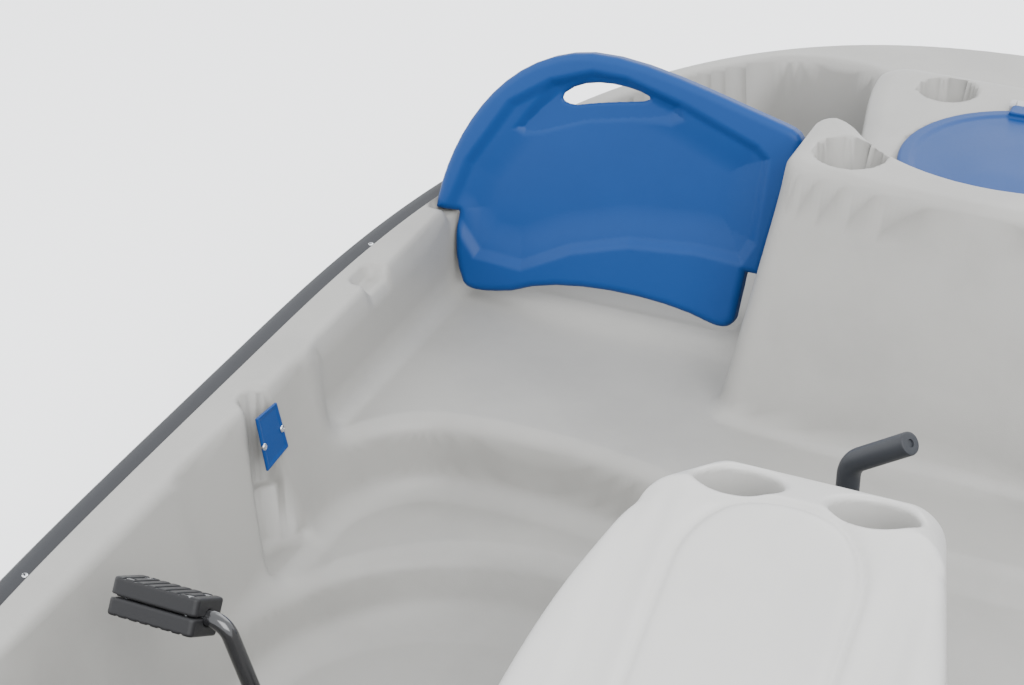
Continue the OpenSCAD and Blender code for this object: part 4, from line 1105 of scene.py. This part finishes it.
class Scatter:
    """Geometry Nodes group that puts one form on many points and joins them."""

    def __init__(self) -> None:
        group = bpy.data.node_groups.new("scatter_on_points", "GeometryNodeTree")
        face = group.interface
        self.sockets = {}
        for name, kind in (
            ("Points", "NodeSocketGeometry"),
            ("Form", "NodeSocketObject"),
            ("Finish", "NodeSocketMaterial"),
            ("Turn", "NodeSocketFloat"),
            ("Size spread", "NodeSocketFloat"),
            ("Seed", "NodeSocketInt"),
        ):
            self.sockets[name] = face.new_socket(name, in_out="INPUT", socket_type=kind).identifier
        face.new_socket("Geometry", in_out="OUTPUT", socket_type="NodeSocketGeometry")
        new = group.nodes.new
        link = group.links.new
        source, sink = new("NodeGroupInput"), new("NodeGroupOutput")
        form = new("GeometryNodeObjectInfo")
        link(source.outputs["Form"], form.inputs["Object"])
        facing = new("GeometryNodeInputNamedAttribute")
        facing.data_type = "FLOAT_VECTOR"
        facing.inputs["Name"].default_value = "facing"
        align = new("FunctionNodeAlignRotationToVector")
        align.axis = "Z"
        link(facing.outputs["Attribute"], align.inputs["Vector"])
        spin = new("FunctionNodeRandomValue")
        spin.data_type = "FLOAT"
        back = new("ShaderNodeMath")
        back.operation = "MULTIPLY"
        back.inputs[1].default_value = -1.0
        link(source.outputs["Turn"], back.inputs[0])
        floats = [s for s in spin.inputs if s.type == "VALUE"]
        link(back.outputs[0], floats[0])
        link(source.outputs["Turn"], floats[1])
        link(source.outputs["Seed"], spin.inputs["Seed"])
        twist = new("FunctionNodeAxisAngleToRotation")
        twist.inputs["Axis"].default_value = (0, 0, 1)
        link(next(s for s in spin.outputs if s.type == "VALUE"), twist.inputs["Angle"])
        both = new("FunctionNodeRotateRotation")
        both.rotation_space = "LOCAL"
        link(align.outputs["Rotation"], both.inputs["Rotation"])
        link(twist.outputs["Rotation"], both.inputs["Rotate By"])
        size = new("FunctionNodeRandomValue")
        size.data_type = "FLOAT"
        sizes = [s for s in size.inputs if s.type == "VALUE"]
        smaller = new("ShaderNodeMath")
        smaller.operation = "SUBTRACT"
        smaller.inputs[0].default_value = 1.0
        link(source.outputs["Size spread"], smaller.inputs[1])
        link(smaller.outputs[0], sizes[0])
        sizes[1].default_value = 1.0
        link(source.outputs["Seed"], size.inputs["Seed"])
        on = new("GeometryNodeInstanceOnPoints")
        link(source.outputs["Points"], on.inputs["Points"])
        link(form.outputs["Geometry"], on.inputs["Instance"])
        link(both.outputs["Rotation"], on.inputs["Rotation"])
        link(next(s for s in size.outputs if s.type == "VALUE"), on.inputs["Scale"])
        real = new("GeometryNodeRealizeInstances")
        link(on.outputs["Instances"], real.inputs["Geometry"])
        finish = new("GeometryNodeSetMaterial")
        link(real.outputs["Geometry"], finish.inputs["Geometry"])
        link(source.outputs["Finish"], finish.inputs["Material"])
        link(finish.outputs["Geometry"], sink.inputs["Geometry"])
        self.group = group

    def spread(
        self,
        name: str,
        form: Surface,
        points: Sequence[Sequence[float]],
        facing: Sequence[Sequence[float]],
        finish: bpy.types.Material,
        body: Body | str,
        slot: Slot,
        stands_for: Sequence[str] = (),
        turn: float = math.pi,
        size_spread: float = 0.0,
        seed: int = 7,
    ) -> bpy.types.Object:
        """Puts a form on points, each facing its own way, as one piece.

        Args:
            name: Name of the piece.
            form: The repeated form, in millimetres, which faces +Z.
            points: Where each one goes, in millimetres.
            facing: Direction of each one's +Z.
            finish: Material of the piece.
            body: Body that it rides on.
            slot: Material slot of the record; not used.
            stands_for: CAD nodes that it replaces.
            turn: Largest random turn about its own +Z, in radians.
            size_spread: Largest random loss of size, as a share.
            seed: Seed of the random values.

        Returns:
            The new object.
        """
        pattern_mesh = bpy.data.meshes.new(f"{name}_form")
        pattern_mesh.from_pydata((form.verts * MM).tolist(), [], form.faces)
        pattern_mesh.shade_smooth()
        pattern_mesh.set_sharp_from_angle(angle=math.radians(40))
        pattern = bpy.data.objects.new(f"{name}_form", pattern_mesh)
        mesh = bpy.data.meshes.new(f"{name}_points")
        mesh.from_pydata((np.asarray(points, float) * MM).tolist(), [], [])
        mesh.attributes.new("facing", "FLOAT_VECTOR", "POINT").data.foreach_set(
            "vector", np.asarray(facing, np.float32).ravel()
        )
        host = bpy.data.objects.new(f"{name}_host", mesh)
        for o in (pattern, host):
            bpy.context.scene.collection.objects.link(o)
        modifier = host.modifiers.new("scatter", "NODES")
        modifier.node_group = self.group
        for key, value in (
            ("Form", pattern),
            ("Finish", finish),
            ("Turn", turn),
            ("Size spread", size_spread),
            ("Seed", seed),
        ):
            modifier[self.sockets[key]] = value
        host.update_tag()
        depsgraph = bpy.context.evaluated_depsgraph_get()
        made = bpy.data.meshes.new_from_object(host.evaluated_get(depsgraph))
        made.name = name
        for o in (pattern, host):
            bpy.data.objects.remove(o)
        obj = bpy.data.objects.new(name, made)
        bpy.context.scene.collection.objects.link(obj)
        hang(obj, body, slot, stands_for)
        return obj


class Fittings:
    """Screws, rod holder plates, paddles and the grip pattern on the floors."""

    PLATE_TILT = math.atan(80 / (642 - 175 - 26))

    def __init__(self, scatter: Scatter, finishes: "Finishes"):
        self.scatter = scatter
        self.finishes = finishes

    @staticmethod
    def pan_head(radius: float, height: float) -> Surface:
        """Domed screw head with a cross recess, on a short shank."""

        def field(x: Array, y: Array, z: Array) -> Array:
            r = np.hypot(x, y)
            dome = np.sqrt(r**2 + (z + radius * 1.1) ** 2) - (height + radius * 1.1)
            head = round_max(r - radius, round_max(dome, -z - 0.2, 0.3), 0.5)
            blade = 0.17 * radius
            cross = np.minimum(
                np.maximum(np.abs(x) - blade, np.abs(y) - radius * 0.6),
                np.maximum(np.abs(y) - blade, np.abs(x) - radius * 0.6),
            )
            return np.maximum(head, -np.maximum(cross, height * 0.35 - z))

        low, high = (-radius, -radius, -0.4), (radius, radius, height)
        return wrap(field, low, high, radius / 6)

    def screws(self) -> None:
        """All the screws that show."""
        steel = self.finishes["stainless"]
        small = self.pan_head(4.4, 2.6)
        rail = []
        for i in range(20):
            t = math.radians(18 * i + 9)
            full = BOW_FULL if math.sin(t) < 0 else STERN_FULL
            c, s = math.cos(t), math.sin(t)
            x = HALF_BEAM * math.copysign(abs(c) ** (2 / full), c)
            y = HALF_LENGTH * math.copysign(abs(s) ** (2 / full), s)
            g = gradient(lambda a, b, z: outline(a, b), np.array([[x, y, 0.0]]))[0]
            rail.append((x - 14 * g[0], y - 14 * g[1], 390.2))
        up = (0, 0, 1)
        spread = self.scatter.spread
        spread("rail_screw_heads", small, rail, [up] * len(rail), steel, Body.BOAT, Slot.STAINLESS, ["rail_screws"])
        cover = [(s * 235, y, 250.4) for s in (-1, 1) for y in (-850, -740, -278)]
        spread("cover_screw_heads", small, cover, [up] * 6, steel, Body.BOAT, Slot.STAINLESS, ["cover_screws"])

    def rod_plates(self) -> None:
        """Blue plates of the rod holders and their screws."""
        tilt = self.PLATE_TILT
        slope = math.tan(tilt)
        z0 = 316.0
        x0 = 751 - 50 + (z0 - 175 - 26) * slope - 4 * math.hypot(1, slope) - 0.3
        corners = [(-29, 0), (29, 4), (26, 72), (-26, 76)]

        def field(a: Array, b: Array, c: Array) -> Array:
            plan = polygon_distance(b, c, corners)
            dish = 1.2 * smooth_step(-3, -9, plan)
            hole = np.hypot(np.abs(b) - 22, c - 34) - 2.4
            plate = round_max(plan + 2, round_max(dish - a, a - 4, 1.5), 1.6)
            return np.maximum(plate, -hole)

        flat = wrap(field, (-1, -31, -1), (5, 31, 77), 1.5)
        steel, blue = self.finishes["stainless"], self.finishes["blue_plastic"]
        whole, spots, ways = None, [], []
        for side in (-1, 1):
            c, s = math.cos(tilt), math.sin(tilt)
            m = Matrix(((side * c, 0, side * s, side * x0), (0, 1, 0, -154), (-s, 0, c, z0), (0, 0, 0, 1)))
            plate = moved(flat, m)
            if side < 0:
                plate.faces = [tuple(reversed(f)) for f in plate.faces]
            whole = plate if whole is None else whole.joined(plate)
            for y in (-22, 22):
                spots.append(tuple(m @ Vector((1.0, y, 34))))
                ways.append((-side * c, 0, s))
        place("rod_holder_plates", whole, blue, Body.BOAT, Slot.BLUE, ["rod_plates"])
        head = self.pan_head(4.6, 2.8)
        self.scatter.spread(
            "rod_plate_screw_heads", head, spots, ways, steel, Body.BOAT, Slot.STAINLESS, ["rod_plate_screws"]
        )

    def paddles(self) -> None:
        """Six curved paddles round the wheel's hub."""

        def field(x: Array, y: Array, z: Array) -> Array:
            middle = 16 * smooth_step(118, 200, z) ** 1.4
            plate = np.abs(y - middle) - 2.5
            return round_max(round_max(np.abs(x) - 88.5, np.abs(z - 109) - 84.5, 8), plate, 1.6)

        form = wrap(field, (-89, -4, 24), (89, 20, 194), 2.6)
        angles = [math.radians(60 * (i + 0.5)) for i in range(6)]
        facing = [(0, -math.sin(a), math.cos(a)) for a in angles]
        self.scatter.spread(
            "wheel_paddle_blades",
            form,
            [(0, CRANK_Y, CRANK_Z)] * 6,
            facing,
            self.finishes["wheel_plastic"],
            Body.CRANK,
            Slot.WHEEL,
            ["wheel_paddles"],
            turn=0.0,
        )

    def grip_pattern(self) -> None:
        """Short raised squiggles on the floors of the footwells."""
        t = np.linspace(0, 1, 13)
        path = np.stack([34 * (t - 0.5), 5 * np.sin(2 * np.pi * t), 0.2 + 0 * t], -1)
        radii = 1.9 * np.sqrt(np.clip(1 - (2 * t - 1) ** 8, 0.12, 1))
        form = sweep(path, radii, 8)
        spots = []
        for side in (-1, 1):
            for i, y in enumerate(np.arange(-850, -384, 21)):
                for x in np.arange(290, 660, 42):
                    u = x + (21 if i % 2 else 0)
                    if u < 650:
                        spots.append((side * u, y, FLOOR_Z))
        self.scatter.spread(
            "floor_grip_pattern",
            form,
            spots,
            [(0, 0, 1)] * len(spots),
            self.finishes["deck_shell"],
            Body.BOAT,
            Slot.DECK,
            turn=0.5,
            size_spread=0.1,
            seed=11,
        )

    def build(self) -> None:
        """Builds and places all the fittings."""
        self.screws()
        self.rod_plates()
        self.paddles()
        self.grip_pattern()


# ---------------------------------------------------------------- finishes


@dataclass(frozen=True)
class Finish:
    """How one material slot looks."""

    colour: tuple[float, float, float]
    roughness: float
    metallic: float = 0.0
    coat: float = 0.0
    grain_scale: float = 420.0
    grain_depth: float = 0.0
    soil: float = 0.1
    spread: float = 0.06
    specular: float = 0.5


FINISHES = {
    "hull_shell": Finish((0.32, 0.314, 0.30), 0.46, grain_scale=760, grain_depth=0.1, soil=0.15),
    "deck_shell": Finish((0.26, 0.255, 0.24), 0.48, grain_scale=760, grain_depth=0.16, soil=0.1),
    "cover_shell": Finish((0.42, 0.415, 0.4), 0.42, grain_scale=760, grain_depth=0.12, soil=0.06),
    "rail_rubber": Finish((0.02, 0.021, 0.024), 0.55, grain_scale=900, grain_depth=0.15, soil=0.1, specular=0.3),
    "stainless": Finish((0.62, 0.63, 0.65), 0.28, metallic=1.0, grain_scale=1600, grain_depth=0.05, soil=0.05),
    "foam": Finish((0.85, 0.86, 0.87), 0.8, grain_scale=260, grain_depth=0.5, soil=0.05),
    "black_plastic": Finish((0.018, 0.018, 0.02), 0.42, grain_scale=900, grain_depth=0.2, soil=0.08),
    "blue_plastic": Finish((0.003, 0.036, 0.15), 0.45, grain_scale=800, grain_depth=0.14, soil=0.06, specular=0.18),
    "grey_plastic": Finish((0.30, 0.30, 0.31), 0.42, grain_scale=800, grain_depth=0.2, soil=0.08),
    "crank_steel": Finish((0.012, 0.012, 0.013), 0.16, coat=0.6, grain_scale=1200, grain_depth=0.04, soil=0.03),
    "wheel_plastic": Finish((0.55, 0.55, 0.53), 0.45, grain_scale=400, grain_depth=0.3, soil=0.15),
    "pedal_rubber": Finish(
        (0.012, 0.012, 0.013), 0.42, grain_scale=1100, grain_depth=0.25, soil=0.06, specular=0.25
    ),
    "grip_plastic": Finish((0.018, 0.02, 0.024), 0.45, grain_scale=900, grain_depth=0.12, soil=0.05, specular=0.3),
}


class Finishes:
    """Builds the shared shader groups and one material for each slot."""

    def __init__(self) -> None:
        self.grain = self._grain_group()
        self.soil = self._soil_group()
        self._made = {name: self._material(name, finish) for name, finish in FINISHES.items()}

    def __getitem__(self, name: str) -> bpy.types.Material:
        return self._made[name]

    @staticmethod
    def _group(name: str, inputs: Sequence[tuple[str, str]], outputs: Sequence[tuple[str, str]]):
        group = bpy.data.node_groups.new(name, "ShaderNodeTree")
        for label, kind in inputs:
            group.interface.new_socket(label, in_out="INPUT", socket_type=kind)
        for label, kind in outputs:
            group.interface.new_socket(label, in_out="OUTPUT", socket_type=kind)
        return group, group.nodes.new("NodeGroupInput"), group.nodes.new("NodeGroupOutput")

    def _grain_group(self) -> bpy.types.NodeTree:
        """Fine leathery grain: rounded cells with soft creases and a little noise."""
        group, source, sink = self._group(
            "moulded_grain",
            [("Position", "NodeSocketVector"), ("Scale", "NodeSocketFloat")],
            [("Height", "NodeSocketFloat"), ("Tone", "NodeSocketFloat")],
        )
        new, link = group.nodes.new, group.links.new
        warp = new("ShaderNodeTexNoise")
        warp.inputs["Detail"].default_value = 2.0
        link(source.outputs["Position"], warp.inputs["Vector"])
        link(source.outputs["Scale"], warp.inputs["Scale"])
        push = new("ShaderNodeVectorMath")
        push.operation = "MULTIPLY_ADD"
        push.inputs[1].default_value = (0.002, 0.002, 0.002)
        link(warp.outputs["Color"], push.inputs[0])
        link(source.outputs["Position"], push.inputs[2])
        cells = new("ShaderNodeTexVoronoi")
        cells.feature = "SMOOTH_F1"
        cells.inputs["Smoothness"].default_value = 0.4
        link(push.outputs[0], cells.inputs["Vector"])
        link(source.outputs["Scale"], cells.inputs["Scale"])
        mix = new("ShaderNodeMath")
        mix.operation = "MULTIPLY_ADD"
        mix.inputs[1].default_value = 0.35
        link(warp.outputs["Fac"], mix.inputs[0])
        flip = new("ShaderNodeMath")
        flip.operation = "SUBTRACT"
        flip.inputs[0].default_value = 1.0
        link(cells.outputs["Distance"], flip.inputs[1])
        link(flip.outputs[0], mix.inputs[2])
        link(mix.outputs[0], sink.inputs["Height"])
        link(cells.outputs["Distance"], sink.inputs["Tone"])
        return group

    def _soil_group(self) -> bpy.types.NodeTree:
        """Broad soft unevenness of tone over a moulding."""
        group, source, sink = self._group(
            "soft_soiling",
            [("Position", "NodeSocketVector"), ("Size", "NodeSocketFloat")],
            [("Mask", "NodeSocketFloat")],
        )
        new, link = group.nodes.new, group.links.new
        broad = new("ShaderNodeTexNoise")
        broad.inputs["Detail"].default_value = 5.0
        broad.inputs["Roughness"].default_value = 0.62
        link(source.outputs["Position"], broad.inputs["Vector"])
        link(source.outputs["Size"], broad.inputs["Scale"])
        shape = new("ShaderNodeMapRange")
        shape.interpolation_type = "SMOOTHSTEP"
        shape.inputs["From Min"].default_value = 0.38
        shape.inputs["From Max"].default_value = 0.72
        link(broad.outputs["Fac"], shape.inputs["Value"])
        link(shape.outputs["Result"], sink.inputs["Mask"])
        return group

    def _material(self, name: str, finish: Finish) -> bpy.types.Material:
        """One slot's material."""
        material = bpy.data.materials.new(name)
        material.use_nodes = True
        tree = material.node_tree
        tree.nodes.clear()
        new, link = tree.nodes.new, tree.links.new
        place_of = new("ShaderNodeTexCoord")
        shader, out = new("ShaderNodeBsdfPrincipled"), new("ShaderNodeOutputMaterial")
        link(shader.outputs["BSDF"], out.inputs["Surface"])
        grain, soil = new("ShaderNodeGroup"), new("ShaderNodeGroup")
        grain.node_tree, soil.node_tree = self.grain, self.soil
        for node in (grain, soil):
            link(place_of.outputs["Object"], node.inputs["Position"])
        grain.inputs["Scale"].default_value = finish.grain_scale
        soil.inputs["Size"].default_value = 5.0
        tone = new("ShaderNodeMix")
        tone.data_type = "RGBA"
        tone.inputs["A"].default_value = (*finish.colour, 1)
        tone.inputs["B"].default_value = (*(c * (1 - finish.soil) for c in finish.colour), 1)
        link(soil.outputs["Mask"], tone.inputs["Factor"])
        link(tone.outputs["Result"], shader.inputs["Base Color"])
        rough = new("ShaderNodeMapRange")
        rough.inputs["To Min"].default_value = finish.roughness - finish.spread
        rough.inputs["To Max"].default_value = finish.roughness + finish.spread
        link(grain.outputs["Tone"], rough.inputs["Value"])
        link(rough.outputs["Result"], shader.inputs["Roughness"])
        bump = new("ShaderNodeBump")
        bump.inputs["Strength"].default_value = finish.grain_depth
        bump.inputs["Distance"].default_value = 0.0006
        link(grain.outputs["Height"], bump.inputs["Height"])
        link(bump.outputs["Normal"], shader.inputs["Normal"])
        shader.inputs["Metallic"].default_value = finish.metallic
        shader.inputs["Specular IOR Level"].default_value = finish.specular
        shader.inputs["Coat Weight"].default_value = finish.coat
        shader.inputs["Coat Roughness"].default_value = 0.08
        material.diffuse_color = (*finish.colour, 1)
        return material

    def dress_frame(self) -> None:
        """Gives every CAD node its slot's material."""
        slot_of = {row["node"]: row["material_slot"] for row in frame["record"]["subparts"]}
        for node, obj in frame["nodes"].items():
            material = self[slot_of[node]]
            if obj.material_slots:
                for held in obj.material_slots:
                    held.material = material
            else:
                obj.data.materials.append(material)


# ---------------------------------------------------------------- stage


class Stage:
    """Pale floor, soft light and the camera."""

    def build(self) -> None:
        """Builds the stage."""
        mesh = bpy.data.meshes.new("floor")
        r = 14.0
        mesh.from_pydata([(-r, -r, -0.001), (r, -r, -0.001), (r, r, -0.001), (-r, r, -0.001)], [], [(0, 1, 2, 3)])
        floor = bpy.data.objects.new("floor", mesh)
        bpy.context.scene.collection.objects.link(floor)
        material = bpy.data.materials.new("floor_pale")
        material.use_nodes = True
        shader = material.node_tree.nodes["Principled BSDF"]
        shader.inputs["Base Color"].default_value = (0.95, 0.95, 0.95, 1)
        shader.inputs["Roughness"].default_value = 0.9
        mesh.materials.append(material)
        self.light("key", (2.6, -3.4, 4.2), (0, 0, 0.2), 4.0, 420)
        self.light("fill", (-4.2, -2.0, 3.0), (0, 0, 0.3), 4.0, 90)
        self.light("back", (0.5, 4.5, 4.0), (0, 0, 0.4), 4.0, 130)
        world = bpy.data.worlds.new("studio")
        world.use_nodes = True
        world.node_tree.nodes["Background"].inputs["Color"].default_value = (0.95, 0.97, 1.0, 1)
        world.node_tree.nodes["Background"].inputs["Strength"].default_value = 2.4
        bpy.context.scene.world = world
        self.camera()

    @staticmethod
    def light(name: str, at: Sequence[float], target: Sequence[float], size: float, power: float) -> None:
        """One soft square light that points at a target."""
        data = bpy.data.lights.new(name, "AREA")
        data.energy = power
        data.size = size
        obj = bpy.data.objects.new(name, data)
        obj.location = at
        obj.rotation_mode = "QUATERNION"
        obj.rotation_quaternion = (Vector(target) - Vector(at)).to_track_quat("-Z", "Y")
        bpy.context.scene.collection.objects.link(obj)

    @staticmethod
    def camera() -> None:
        """Camera over the port bow that looks down on the starboard footwell."""
        data = bpy.data.cameras.new("camera")
        data.sensor_width = 36.0
        data.lens = 84.4
        data.clip_end = 60.0
        obj = bpy.data.objects.new("camera", data)
        obj.location = (0.5359, -2.2703, 1.9540)
        obj.rotation_mode = "QUATERNION"
        obj.rotation_quaternion = Vector((-0.3486, 0.7831, -0.5150)).to_track_quat("-Z", "Y")
        bpy.context.scene.collection.objects.link(obj)
        bpy.context.scene.camera = obj


def main() -> None:
    """Builds the whole scene."""
    logging.basicConfig(level=logging.INFO, format="%(message)s")
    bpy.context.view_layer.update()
    finishes = Finishes()
    finishes.dress_frame()
    Deck(finishes["deck_shell"]).build()
    Hull(finishes["hull_shell"], finishes["foam"]).build()
    RubRail(finishes["rail_rubber"]).build()
    WheelCover(finishes["cover_shell"]).build()
    for side in (-1, 1):
        SeatBack(side, finishes["blue_plastic"]).build()
    CoolerLid(finishes["blue_plastic"]).build()
    Drive(finishes["crank_steel"], finishes["wheel_plastic"], finishes["pedal_rubber"]).build()
    Tiller(finishes["grip_plastic"]).build()
    Fittings(Scatter(), finishes).build()
    Stage().build()


if __name__ == "__main__":
    main()
